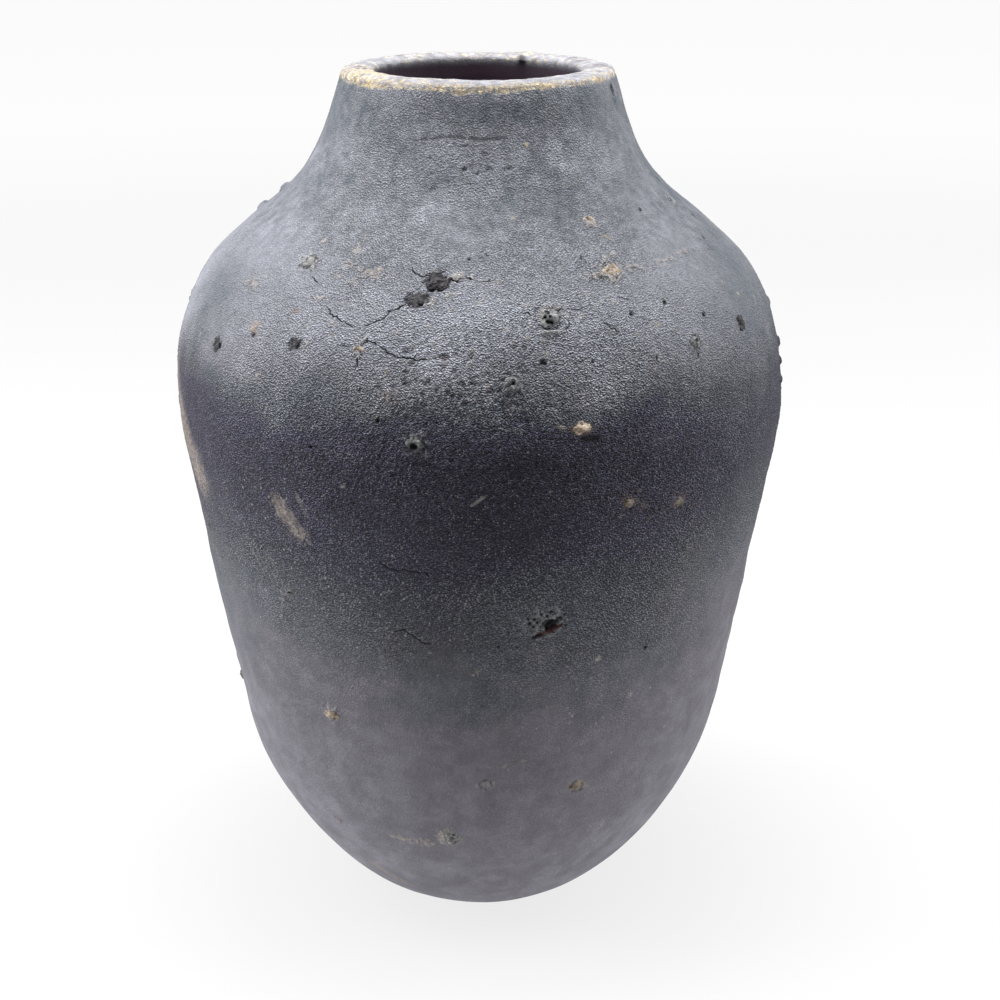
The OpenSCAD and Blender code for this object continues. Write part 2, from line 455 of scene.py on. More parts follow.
def cinder_pit(b, z, w, cream=0):
    """The rough hollow round a cinder, painted dark as painted shade."""
    blob(b, z, w * 1.15, w, lift=-0.75, soft=0.3, ragged=0.55, dark=0.72)
    blob(b, z, w * 1.45, w * 1.3, lift=0.2, ring=0.16, ragged=0.6, dark=0.15)
    if cream:
        blob(*shifted(b, z, w * 0.72, w * 0.1), w * 0.5, w * 0.8, soft=0.5, ragged=0.9, cream=cream)


def grit(b, z, w, h=None, halo=0.35, cream=0):
    """The seat of a buff grain: stained clay round it and a shaded gap below."""
    h = h or w
    blob(b, z, w * 1.35, h * 1.3, soft=0.5, ragged=0.8, tan=halo, cream=cream, lift=0.15)
    blob(*shifted(b, z, 0.1 * w, -0.62 * h), w * 0.8, h * 0.35, lift=-0.4, dark=0.7, ragged=0.4)


# ---- relief of the whole pot

HAND_WOBBLE = ((0, 0.9), (60, 0.8), (150, 0.2), (210, 0.1), (270, -0.4), (330, -0.6))
drift_x = by_height(HAND_WOBBLE, Z)

# How rough the sand is by height, and which bearings are roughest
ROUGH = (
    (0, 0.16), (60, 0.18), (110, 0.24), (140, 0.4), (165, 0.58), (195, 0.85), (215, 1), (235, 0.95),
    (250, 0.78), (268, 0.66), (285, 0.55), (330, 0.5),
)
# How strongly the sand grains differ in their own shade and in painted tip light, by height; strongest on
# the belly, where the painted tip light stands in for light grazing the grains
SPECKLE_AND_TIP_LIGHT = (
    (0, 0.45), (60, 0.5), (100, 0.6), (130, 1.2), (155, 2.6), (179, 5), (202, 4.8), (216, 4.8), (230, 3.2),
    (242, 1.7), (254, 1.3), (265, 1.45), (276, 1.6), (290, 1.3), (330, 1.2),
)
rough = by_height(ROUGH, zz)
band = smooth(185, 205, zz) * smooth(268, 252, zz)
front_coarse = bell(turn_to(bear, 4), 34) * band
rough = rough * (0.78 + 0.5 * front_coarse + 0.22 * n_hand)
speckle = by_height(SPECKLE_AND_TIP_LIGHT, zz) * (0.85 + 0.25 * front_coarse + 0.3 * n_hand + 0.15 * n_wisp)
# The front is the coarsest side
from_front = np.abs(turn_to(bear, 0))
calmer = smooth(26, 62, from_front)
speckle = speckle * (1 - 0.56 * calmer)
rough = np.clip(rough, 0.06, 1.8)

sand = 0.12 * n_fine + 0.11 * n_sand + 0.09 * n_grit + 0.05 * n_pebble
sand = sand + 0.12 * np.maximum(n_sand - 0.1, 0)
relief += rough * sand * (1 + 0.5 * front_coarse) * (1 - 0.35 * smooth(262, 285, zz))
relief += 0.05 * n_mid * (0.4 + rough) + 0.32 * n_hand + 0.5 * n_big

# Finger drags round the courses, and the smeared step where the neck was set on the shoulder
drag = lattice(np.stack([bear * 0.012, bear * 0, zz / 9.0 + 0.25 * n_big], -1), 1, 9)
relief += 0.22 * drag * smooth(40, 90, zz)
step = zz - seat_z - 2.4 * n_hand - 0.8 * n_mid
relief += 0.16 * (0.5 + n_mid) * bell(step, 1.4)
relief -= 0.12 * bell(step - 2.6, 2)

# ---- marks seen from the front

for n, (points, strength) in enumerate((
    (((-30.6, 260.4), (-27.1, 257.6), (-25, 256.5), (-22.7, 255.1)), 1),
    (((-21.7, 256.2), (-18.4, 258.4), (-17.1, 260.2), (-15.1, 262.7), (-13.4, 264.2)), 0.8),
    (((-20.9, 254), (-19.5, 252.1), (-18.5, 251.9), (-16.2, 249.3), (-13.9, 248),
      (-11.3, 248), (-7.6, 247.4)), 0.85),
    (((-24.8, 250.1), (-22.9, 249.7)), 0.7),
    (((-21.5, 247.1), (-21.3, 246.1), (-21.1, 243.4)), 0.7),
    (((-21.6, 249.9), (-20.6, 251.4), (-19.7, 252)), 0.7),
    (((-37.6, 268), (-36, 267), (-33.1, 265.8)), 0.6),
    (((-14.9, 273.1), (-11.8, 271), (-8.4, 272.2), (-6.3, 272.8)), 0.9),
    (((-5.9, 271.3), (-4.2, 269.8), (-2.6, 271.2), (-0.8, 270.4)), 1),
    (((0.2, 270.2), (2.9, 270)), 0.6),
    (((7.9, 261.3), (10.4, 260.6)), 0.7),
    (((14.9, 261.3), (17.5, 261.7), (20.8, 261.2)), 0.6),
    (((16.2, 259.7), (17, 257.6), (15.5, 255.6)), 0.5),
    (((23.4, 257), (24.6, 255.6), (26.6, 253.1)), 0.8),
    (((0.7, 278.2), (2.9, 277)), 0.5),
    (((-18.2, 176), (-16.3, 174.2), (-14.8, 173.7), (-9.6, 173.5), (-8.1, 171.4)), 1.3),
    (((-16.4, 148.2), (-13.9, 149.8), (-11.7, 146.6), (-10.2, 144.8), (-7.9, 143.6)), 1.1),
    (((-3.2, 238.8), (0.5, 238.2), (4.2, 239.2)), 0.35),
    (((-0.5, 240.6), (-0.6, 238)), 0.35),
    (((42.2, 245.2), (42.5, 241)), 0.5),
    (((28.4, 263.8), (31, 262)), 0.4),
)):
    crack(points, strength, seed=n)
# Hollows round the cinders: bearing, height and width
for b, z, w in (
    (-8.6, 269.8, 7.6), (-12.2, 264.8, 6), (-55.5, 240.9, 4.6), (-34.5, 248.1, 3.8), (58.5, 246.9, 4.6),
):
    cinder_pit(b, z, w)

# Burst lime grains: bearing, height, width, hole and brightness
for b, z, w, hole, bright in (
    (-10.5, 220.8, 5.6, None, 0.45), (-40.5, 271.4, 5, None, 0.35),
    (5.9, 240.9, 4.2, (-0.02, 0.02, 0.3), 0.8), (42.5, 246.6, 4.8, None, 0.55),
    (32.6, 244.2, 2.7, (0, 0, 0.3), 0.5), (-37.9, 155.8, 3.4, (0, -0.05, 0.4), 0.45),
    (0.9, 84.5, 3.7, None, 0.5),
):
    lime_pop(b, z, w, hole, bright)

# Seats of the buff grains: bearing, height, width, height, stain and cream
for b, z, w, h, halo, cream in (
    (-45.4, 250.2, 3.6, 3.6, 0.5, 0), (26, 196.7, 4, 4, 0.25, 0), (29.2, 194.3, 2.4, 2.4, 0.25, 0),
    (36.9, 192.8, 4.2, 4.2, 0.25, 0), (21.4, 79.2, 5.6, 3.6, 0.25, 0.1),
):
    grit(b, z, w, h, halo, cream)

# Crusts: bearing, height, width, height, how full, lift, angle, and how buff, cream and white
CRUSTS = (
    (-3.9, 271.3, 8.5, 3.6, 0.25, 0.35, 0, 0.25, 0.5, 0), (-9, 264, 4.4, 5, 0.2, 0.3, 0, 0.2, 0.35, 0),
    (-5.5, 266, 5, 4, 0, 0.25, 0, 0.2, 0.25, 0), (-21.3, 249.5, 5, 4, 0.1, 0.3, 0, 0, 0.6, 0),
    (-8.6, 217.4, 6, 2.6, 0, 0.25, 0, 0, 0, 0.3), (-10.6, 223.4, 6, 3, 0.1, 0.25, 0, 0, 0, 0.5),
    (-40.2, 271.4, 8.5, 7.5, 0.1, 0.25, 0, 0, 0.5, 0), (-8, 57.2, 7.6, 8.4, 0.35, 0.25, 0, 0.4, 0.6, 0),
    (-19, 52.4, 13, 3.4, 0.25, 0.2, 0, 0.35, 0.4, 0), (-13.6, 52.8, 7, 5.4, 0.2, 0.2, 0, 0.35, 0.45, 0),
    (31.5, 284.2, 6, 4, 0.2, 0.35, 0, 0.5, 0.3, 0), (34, 279.8, 6, 2.6, 0.1, 0.25, -35, 0.45, 0, 0),
    (29.6, 270.6, 9, 8, 0.45, 0.5, 0, 0.1, 0.4, 0), (25.6, 270.2, 6, 3.4, 0.2, 0.3, 0, 0.3, 0.35, 0),
    (31.4, 274.6, 7, 3, 0.15, 0.3, 10, 0.15, 0.36, 0), (36, 271, 10, 6, 0, 0.3, 0, 0.15, 0.3, 0),
    (45, 270.8, 18, 5, -0.1, 0.25, 4, 0.2, 0.3, 0), (54, 271.6, 8, 3, -0.1, 0.2, 0, 0.35, 0, 0),
    (-32.4, 106.8, 7, 8, 0.2, 0.15, 0, 0, 0.3, 0), (-33, 109, 7, 6, 0.2, 0.15, 0, 0, 0, 0.3),
    (-40.5, 150, 6, 12, -0.1, 0.1, -15, 0, 0.25, 0), (12, 152.4, 17, 13, 0.15, 0.15, 38, 0, 0, 0.4),
)
for *oval, tan, cream, lime in CRUSTS:
    crumbs(*oval, tan=tan, cream=cream, lime=lime)

# Faint buff crusts: bearing, height, width, height and how full
for b, z, w, h, amount in (
    (-29.7, 276.9, 5, 3, 0.2), (-29.9, 272.6, 5, 4, 0.2), (-23, 271, 12, 6, 0), (-26.5, 267.6, 6, 3, 0),
    (-40.8, 277.6, 4, 3, 0), (-52, 262, 12, 6, -0.15), (-0.6, 133.6, 4, 3, 0), (9.2, 94.3, 5, 3, 0),
    (4.8, 92.1, 10, 4, -0.1), (-38.6, 52.7, 5, 4, 0), (2.2, 84.5, 4, 4, 0), (21.4, 79.2, 8, 4, 0),
    (-15, 236, 14, 6, -0.25), (-33, 262.5, 8, 4, -0.1), (14, 262, 12, 4, -0.2),
):
    crumbs(b, z, w, h, amount, 0.22, tan=0.34, cream=0.22)
for b, z in ((28, 200), (32, 192), (24, 192.5), (30.5, 189.5), (35, 196.5), (40, 190)):
    crumbs(b, z, 4, 3, tan=0.25)

# Patches: bearing, height, width, height, lift, angle, softness, raggedness and stains. The dark stains are
# painted shade in hollows and in the gouge, and a painted shadow under the buff lump.
PATCHES = (
    (-20.4, 253.6, 0.8, 3.4, 0, -28, 0.4, 0.4, dict(lime=0.95)),
    (-6.1, 248.8, 3.2, 2.4, -0.5, 0, 0.3, 0.4, dict(red=0.55, dark=0.2)),
    (-6, 247.2, 2.8, 0.9, 0.3, 0, 0.4, 0.4, dict(lime=0.4)),
    (13, 255.6, 6.4, 1.5, 0.7, 0, 0.35, 0.5, dict(lime=0.95)),
    (16.6, 257.8, 1.1, 3.6, 0.4, 20, 0.4, 0.5, dict(lime=0.5)),
    (9.6, 258.6, 1, 3.2, 0.3, 0, 0.4, 0.5, dict(lime=0.45)),
    (-9, 214.4, 9, 1.4, -0.3, 0, 0.4, 0.6, dict(dark=0.45)),
    (17, 225.2, 8.6, 4.4, 0.3, 0, 0.4, 0.5, dict(tan=0.3)),
    (13.6, 226.2, 4, 1, 0.35, -12, 0.4, 0.4, dict(tan=0.7, cream=0.5)),
    (18.4, 221.6, 7, 2.2, -0.6, 0, 0.4, 0.3, dict(dark=0.85)),
    (-31.6, 105.6, 2.4, 1.8, 0.3, 0, 0.4, 0.5, dict(lime=0.6)),
    (-36.7, 257.7, 2.6, 2.2, 0, 0, 0.5, 0.6, dict(red=0.35, tan=0.4)),
    (-38.6, 52.7, 3, 2.2, 0, 0, 0.6, 0.6, dict(red=0.25)),
    (31.1, 55, 2.6, 5, 0, 0, 0.7, 0.5, dict(cream=0.35)),
    (-37, 190, 6.4, 8.4, -0.12, 0, 0.45, 0.6, dict(tan=0.28, cream=0.38)),
    (13.4, 151.8, 7.4, 2.8, -1.4, 42, 0.3, 0.55, dict(dark=1)),
    (12.6, 152.6, 5, 3, -0.9, 25, 0.3, 0.7, dict(dark=0.9)),
)
for *oval, stains in PATCHES:
    blob(*oval, **stains)

# Scars, scratches and smears: the line, width, lift, softness, raggedness, streaks and stains. The dark
# stains are painted shade in a groove round the neck and in the gouge.
SCARS = (
    (((-1.2, 200.2), (0.9, 203.4)), 1.2, 0.3, 0.5, 0.6, 0, dict(cream=0.5)),
    (((-20, 311), (-9, 312), (2, 311.2), (10, 311.6)), 1.3, -0.3, 0.5, 0.7, 0, dict(dark=0.25)),
    (((-80, 215), (-75.5, 205), (-70.5, 196), (-66.5, 188)), 18, -0.15, 0.6, 0.35, 0.3,
     dict(tan=0.45, cream=0.36)),
    (((-67, 193), (-64, 186)), 4, -0.1, 0.7, 0.35, 0.4, dict(tan=0.2, cream=0.3)),
    (((-37.4, 191.5), (-35.4, 186.4), (-33.4, 181.6)), 6.6, -0.12, 0.55, 0.6, 0.3,
     dict(tan=0.28, cream=0.38)),
    (((-33.6, 182.5), (-31.4, 178.8)), 1.4, 0, 0.7, 0.9, 0.3, dict(cream=0.3)),
    (((-32.4, 197), (-31, 190)), 1.6, 0, 0.6, 0.9, 0.3, dict(cream=0.3)),
    (((-35.3, 26.7), (-31, 21.6), (-26.6, 17.8)), 5, 0, 0.7, 0.35, 0, dict(tan=0.25, cream=0.25)),
    (((10.6, 147.8), (12.2, 148.9), (14, 150.2), (15, 151.4)), 1.7, -0.5, 0.4, 0.5, 0, dict(red=0.9)),
    (((9.9, 147), (11.4, 148)), 1.1, -0.6, 0.4, 0.5, 0, dict(dark=0.9)),
)
for line, *look, stains in SCARS:
    stroke(line, *look, **stains)
for k in range(4):
    scratch = ((-47.5 + 1.9 * k, 171 - k), (-44.8 + 1.8 * k, 160.5 - 1.6 * k))
    stroke(scratch, 0.7, soft=0.8, ragged=1, cream=0.16)

# A ring of shade round the largest burst grain, and a pale one round the lowest
blob(13, 259.6, 8.6, 8.2, lift=-0.45, ring=0.12, ragged=0.25, dark=0.5)
blob(-7, 56.8, 7.6, 7.2, lift=0.3, ring=0.2, ragged=0.6, cream=0.3)

# Pores round the gouge below the middle, then the rest of the front's pores
for b, z, w in (
    (10, 154.6, 1.3), (11.2, 156.4, 1.2), (9.2, 153, 1), (15.6, 155.6, 0.9), (8.8, 154.8, 1),
    (13, 157.2, 1.1), (9.9, 151.4, 1.1), (16, 151, 0.9), (12.4, 155.4, 1), (10.6, 153.2, 1.1),
):
    pit(b, z, w, depth=0.6, rim=0)
for b, z, w in (
    (30, 258.5, 1.6), (38.6, 259.9, 1.6), (52, 285, 1.4), (79.5, 289.8, 2), (11.2, 246.8, 1.9),
    (47.3, 253.8, 1.4), (-16.8, 228.1, 1.4), (3.5, 144.3, 0.9), (5.3, 149.9, 0.8), (7, 143.6, 0.8),
    (-29, 216, 1.1), (-2, 276.4, 1.2), (20, 246, 1), (24.2, 275, 1),
):
    pit(b, z, w, depth=0.7)
pit(-10.7, 220.2, 2.8, 2.4, depth=1.2, rim=0)
pit(30.4, 268.6, 1.1, depth=0.9, rim=0)
pit(-45.2, 247.8, 1.2, depth=0.6)
pit(33.8, 135.3, 1.3, depth=0.5, red=0.7)
pit(68, 323.4, 2.8, 4, depth=1, rim=0.2)

# Single cream crumbs: bearing, height and width
for b, z, w in (
    (-52.6, 187, 1.1), (-44.7, 187.3, 1.1), (-23.1, 203.8, 1.6), (-63.6, 241.1, 1.3), (70, 251.5, 1.3),
    (18.7, 112.5, 1.2), (31.6, 115.8, 2), (23.1, 135.5, 2.4), (17.3, 309.3, 1.6), (-29, 166, 0.9),
    (-21.5, 172, 0.8), (-26.4, 154, 0.9),
):
    blob(b, z, w, w, lift=0.15, soft=0.4, ragged=0.4, cream=0.6)

# Pitted sand on the neck and on the front of the shoulder: count, middle, depth, raggedness, and shade, the
# painted shade in the pits
rng = np.random.default_rng(SEED + 5)
for count, b, z, lift, ragged, dark in ((26, -1, 299, -0.3, 0.8, 0), (60, -3, 240, -0.35, 0.9, 0.25)):
    for _ in range(count):
        w = rng.uniform(1, 2.6)
        blob(rng.normal(b, 9), rng.normal(z, 5), w, w * 0.7, lift, soft=0.5, ragged=ragged, dark=dark)

# White specks of lime: middle, spread and count
rng = np.random.default_rng(SEED + 1)
for b, z, spread_b, spread_z, count in (
    (-32, 165, 16, 16, 120), (-10, 150, 12, 10, 30), (26, 118, 9, 16, 24),
    (-44, 190, 8, 10, 14), (18, 250, 22, 20, 24), (30, 262, 16, 8, 16),
):
    for _ in range(count):
        w = rng.uniform(0.5, 0.72)
        blob(b + spread_b * rng.normal(), z + spread_z * rng.normal(), w, w, lift=0.12, ragged=0.2,
             lime=rng.uniform(0.7, 1))

# Buff and cream crumbs all over the front of the shoulder
for _ in range(110):
    w = rng.uniform(0.8, 2.1)
    blob(2 + 25 * rng.normal(), 257 + 11 * rng.normal(), w, w * rng.uniform(0.6, 1), lift=0.16, soft=0.4,
         ragged=0.8, tan=rng.uniform(0.1, 0.35), cream=rng.uniform(0.1, 0.42))

# Knobs that show against the sky at both sides: bearing, height, width and lift
for b, z, w, lift in (
    (82, 229.6, 4.4, 1), (80.5, 222.6, 3.6, 0.9), (77.6, 217, 4, 0.9), (-93, 284.5, 5, 1.3),
    (-95, 277, 5, 1.2), (-88, 178, 5, 0.9), (86, 243, 4, 0.6), (-84, 205, 5, 0.5),
    (88, 120, 8, 0.5), (-82, 96, 7, 0.5),
):
    blob(b, z, w, w * 0.8, lift, soft=0.5, ragged=0.5)

# ---- marks on the rest of the pot

rng = np.random.default_rng(SEED)


def elsewhere(low, high):
    """A random bearing away from the front, and a height."""
    b = rng.uniform(62, 298)
    return (b + 180) % 360 - 180, rng.uniform(low, high)


for n in range(46):
    b, z = elsewhere(130, 300)
    pit(b, z, rng.uniform(0.7, 2.2), depth=rng.uniform(0.4, 1), red=0.5 * (n % 7 == 0))
for n in range(9):
    b, z = elsewhere(150, 285)
    w = rng.uniform(2.6, 5.6)
    lime_pop(b, z, w, hole=(rng.uniform(-0.1, 0.1), 0.05, 0.3), bright=rng.uniform(0.35, 0.7))
for n in range(9):
    b, z = elsewhere(150, 290)
    cinder_pit(b, z, rng.uniform(2.6, 6), cream=0.4 * (n % 3 == 0))
for n in range(56):
    b, z = elsewhere(25, 300)
    w = rng.uniform(1, 5)
    blob(b, z, w, w * rng.uniform(0.5, 1), lift=0.12, angle=rng.uniform(-50, 50), soft=0.5, ragged=0.9,
         tan=rng.uniform(0.1, 0.5), cream=rng.uniform(0, 0.35))
for n in range(7):
    b, z = elsewhere(150, 285)
    heading = rng.uniform(-0.9, 0.9)
    points = [(b, z)]
    for k in range(rng.integers(3, 6)):
        points.append((points[-1][0] + rng.uniform(1.8, 3.2), points[-1][1] + heading + rng.normal(0, 1.6)))
    crack(points, rng.uniform(0.6, 1), seed=100 + n)
    if n % 2:
        fork = points[len(points) // 2]
        crack([fork, (fork[0] + 1.5, fork[1] - 3.5), (fork[0] + 2.2, fork[1] - 7)], 0.7, seed=130 + n)
for n in range(5):
    b, z = elsewhere(90, 240)
    stroke(((b, z), (b + rng.uniform(-3, 3), z - rng.uniform(5, 14))), rng.uniform(2, 5), lift=-0.1,
           streak=0.4, tan=rng.uniform(0.2, 0.45), cream=rng.uniform(0.1, 0.35))

# ---- lumps that sit in the clay

def islands(name):
    """Middle and radius of each grain in a group of the frame."""
    points, faces = node_mesh(name)
    _, same = np.unique(np.round(points, 3), axis=0, return_inverse=True)
    same = same.ravel()
    label = np.arange(same.max() + 1)
    corners = same[faces]
    while True:
        low = label[corners].min(1)
        new = label.copy()
        for k in range(3):
            np.minimum.at(new, corners[:, k], low)
        if (new == label).all():
            break
        label = new
    found = []
    for which in np.unique(label):
        p = points[label[same] == which]
        found.append(((p.min(0) + p.max(0)) / 2, float((p.max(0) - p.min(0)).max() / 2)))
    return found


places = {name: islands(name) for name in GRAIN_GROUPS}
for name, seat in (("lime_nodules", lime_pop), ("cinder_lumps", cinder_pit), ("buff_grit", grit)):
    for middle, r in places[name]:
        b = math.degrees(math.atan2(middle[0], -middle[1]))
        if abs(b) > 62:
            z = float(middle[2])
            if name == "lime_nodules":
                lime_pop(b, z, r * 2.1, hole=(0, 0.15, 0.25), bright=0.6)
            else:
                seat(b, z, r * 2)

# ---- the lip

lip_share = (S - along_lip)[:, None]            # mm over the lip's outer edge, towards the throat
lip_width = throat_at - along_lip
on_lip = smooth(-0.6, 0.6, lip_share) * smooth(lip_width + 0.8, lip_width - 0.6, lip_share)
lip_noise = lattice(np.stack([bear * 0.16, bear * 0, zz * 0 + 3], -1), 1, 21)
lip_fine = lattice(np.stack([bear * 0.75, bear * 0, zz * 0 + 8], -1), 1, 22)

# The worn edge runs down over the outside in chips, deepest near the middle of the front
LIP_CHIPS = ((-6.5, 4, 1.3), (-1, 6, 0.5), (10.5, 5, 1.1), (-16, 8, 0.4), (-58, 20, 1),
             (-40, 12, 0.4), (120, 9, 1), (160, 12, 0.9), (-150, 10, 1.2), (-110, 9, 0.8))
worn_down = 0.1 + 0.4 * lip_noise + 0.5 * lip_fine
for b, spread, drop in LIP_CHIPS:
    worn_down = worn_down + drop * bell(turn_to(bear, b), spread)
fleck = 0.5 * n_grit + 0.5 * n_sand + 0.4 * n_fine
edge = smooth(worn_down + 0.5, worn_down - 0.3, -lip_share) * smooth(3.4, 1.2, lip_share + 1.4 * n_pebble)
wide_wear = bell(turn_to(bear, -62), 26) + 0.5 * bell(turn_to(bear, 170), 40)
relief -= edge * (0.2 + 0.2 * n_grit)
relief += on_lip * (0.18 * lip_noise + 0.05 * lip_fine + 0.03 * n_pebble)
rough = rough * (1 - 0.35 * on_lip)
speckle = speckle * (1 - 0.3 * on_lip)
stain("cream", edge * np.clip(0.55 + 1.2 * fleck, 0, 0.95))
stain("cream", on_lip * smooth(0.05, 0.5, fleck + 0.3 * n_mid + 0.6 * wide_wear - 0.12) * 0.7)
stain("tan", 0.14 * on_lip)
inner_edge = bell(lip_share - lip_width + 2.4 + 0.4 * lip_fine, 1.5)
near_front = 0.25 + 0.75 * bell(from_front, 55)
rubbed = np.clip(0.7 + 0.5 * lip_noise + 0.6 * fleck, 0.15, 0.95) * near_front
stain("lime", inner_edge * rubbed)
# A flake on the inner edge at the left, and a dark knob with a notch at the back
flake = bell(turn_to(bear, -88), 12) * smooth(5, 8, lip_share)
relief += 0.9 * flake * smooth(-0.2, 0.2, n_mid + lip_fine)
stain("cream", 0.5 * flake * smooth(0, 0.4, n_grit + 0.5 * n_pebble))
knob = bell(turn_to(bear, 154), 2.2) * smooth(12.2, 13.4, lip_share) * smooth(16.5, 14.8, lip_share)
relief += 1.1 * knob
stain("dark", 0.65 * knob)
relief += 0.5 * bell(turn_to(bear, 155), 4) * on_lip
relief[:] = np.where(lip_share > lip_width + 4, relief * 0.6, relief)

# ---- tone of the smoked clay, with painted light and shade

# Tone by height, partly the clay's own ash and smoke but mostly painted light and shade: the belly is
# painted darkest where it turns away from the light above, the shoulder is painted paler where that light
# falls on it, and the foot where light from the floor falls on it
TONE_AND_PAINTED_LIGHT = (
    (0, 2.7), (25, 2.6), (45, 2.5), (61, 2.35), (82, 2.08), (100, 1.86), (118, 1.6), (134, 1.34),
    (151, 1.16), (167, 0.86), (183, 0.58), (199, 0.43), (213, 0.41), (222, 0.5), (230, 0.88), (239, 1.8),
    (248, 2.3), (256, 2.4), (265, 2.3), (273, 2.15), (285, 1.75), (296, 1.85), (305, 2.05), (330, 2.1),
)
at_back = smooth(55, 100, from_front)
tone_z = zz + 5 * n_cloud + 3 * n_wisp + at_back * (12 * n_big + 6 * n_hand + 3 * n_wisp)
tone = by_height(TONE_AND_PAINTED_LIGHT, tone_z)
# Clouds of painted shade (below 1) and painted light (above 1), with some soot and ash among them: bearing,
# height, width, height, factor
SOOT_AND_PAINTED_LIGHT_CLOUDS = (
    (9, 212, 56, 22, 0.76), (2, 196, 60, 22, 0.86), (6, 184, 46, 20, 0.8), (-12, 168, 40, 26, 0.82),
    (-5, 148, 36, 24, 0.82), (-4, 124, 40, 26, 0.86), (-14, 246, 60, 16, 1.12), (-24, 256, 90, 26, 1.08),
    (54, 252, 60, 40, 0.84), (30, 160, 50, 26, 1.03), (-36, 128, 60, 50, 1.05), (10, 321, 44, 7, 0.7),
    (-30, 312, 24, 14, 0.92), (-42, 229, 70, 18, 1.36), (-14, 240, 34, 14, 1.12), (10, 262, 44, 14, 1.12),
    (-56, 196, 70, 100, 1.22), (60, 190, 66, 130, 1.6), (-20, 300, 26, 30, 1.16), (-46, 150, 50, 50, 1.1),
    (24, 226, 44, 14, 1.1), (-84, 254, 30, 30, 1.35), (-14, 291, 30, 16, 1.12), (14, 298, 30, 20, 1.06),
    (-66, 290, 50, 50, 1.3), (-88, 275, 40, 50, 1.3), (60, 300, 30, 40, 1.08), (-60, 256, 34, 18, 0.78),
    (66, 256, 54, 28, 0.78), (-6, 258, 60, 34, 1.14), (-80, 234, 34, 50, 1.3), (-78, 200, 30, 60, 1.15),
    (74, 186, 40, 120, 1.22), (-86, 282, 60, 70, 0.72), (80, 285, 50, 90, 0.84), (-58, 240, 40, 22, 0.84),
    (68, 240, 60, 24, 0.82), (-84, 256, 34, 40, 0.88), (-50, 316, 40, 30, 0.92), (-68, 258, 44, 26, 0.84),
    (72, 258, 50, 36, 0.76), (-66, 318, 50, 46, 0.8), (48, 322, 56, 26, 0.85), (-4, 242, 44, 14, 1.16),
    (-70, 202, 50, 34, 1.14), (12, 158, 50, 28, 1.18), (-24, 118, 44, 40, 1.1), (-80, 320, 40, 44, 0.86),
    (75, 320, 40, 40, 0.9), (120, 205, 80, 60, 1.5), (-140, 192, 90, 50, 1.5), (172, 222, 60, 40, 1.35),
    (150, 262, 60, 34, 0.72), (-112, 252, 50, 40, 0.76), (104, 140, 60, 40, 0.76),
    (-165, 128, 70, 34, 0.74), (178, 300, 60, 30, 0.8), (-120, 80, 70, 30, 0.86), (140, 70, 60, 30, 0.85),
    (98, 290, 40, 24, 0.85), (24, 118, 40, 30, 1.04), (44, 165, 30, 40, 1.12), (60, 190, 30, 50, 1.12),
)
for b, z, w, h, factor in SOOT_AND_PAINTED_LIGHT_CLOUDS:
    u = np.radians(turn_to(bear, b)) * wall_radius(z) / (w / 2)
    v = (zz - z) / (h / 2)
    tone = tone * (1 + (factor - 1) * np.exp(-(u * u + v * v)))
tone = tone * (1 + 0.10 * n_cloud + 0.07 * n_wisp + 0.05 * n_mid)
# Soft ash patches with ragged edges, low down and mostly on the left
n_patch = 0.8 * lattice(base * [1, 1, 1.3], 11, 12) + 0.4 * lattice(base * [1, 1, 1.5], 4.6, 13)
patch = smooth(0, 0.22, n_patch + 0.35 * n_wisp + 0.3 * n_mid) * smooth(165, 130, zz)
on_neck = smooth(266, 280, zz)
mottle = 0.06 * n_wisp + 0.10 * n_mid + 0.15 * n_pebble + 0.08 * n_grit + 0.04 * n_cloud
tone = tone * (1 + on_neck * mottle)
tone = tone * (1 + 0.09 * patch - 0.05 + 0.08 * n_pebble + 0.06 * n_grit + 0.07 * n_mid)
# Painted light on the sand: the tops of its bumps are painted paler and the hollows between them darker
painted_tip_light = np.clip(0.9 * n_sand + 0.7 * n_fine + 0.4 * n_grit, -1, 1)
tone = tone * (1 + 0.22 * rough * painted_tip_light)
tone = tone * (1 + on_lip * (0.62 + 0.25 * n_pebble + 0.12 * n_grit + 0.2 * lip_noise))
tone = np.clip(tone, 0.15, 4)
inside_out = smooth(lip_width - 0.5, lip_width + 2.5, lip_share) * np.ones(shape)
rough = rough * (1 - 0.7 * inside_out)
speckle = speckle * (1 - 0.7 * inside_out)

# ---- meshes

skin = base + across * relief[..., None]
skin[..., 0] += drift_x[:, None]
skin[..., 2] = np.maximum(skin[..., 2], 0)


def grid_normals(p):
    """Normals of a grid that closes on itself across its columns."""
    right = np.roll(p, -1, 1) - np.roll(p, 1, 1)
    up = np.empty_like(p)
    up[1:-1] = p[2:] - p[:-2]
    up[0], up[-1] = p[1] - p[0], p[-1] - p[-2]
    n = np.cross(right, up)
    return n / np.maximum(np.linalg.norm(n, axis=-1, keepdims=True), 1e-12)


skin_normals = grid_normals(skin)
coarse_bearing = bearing[::JOIN]
COARSE = COLUMNS // JOIN

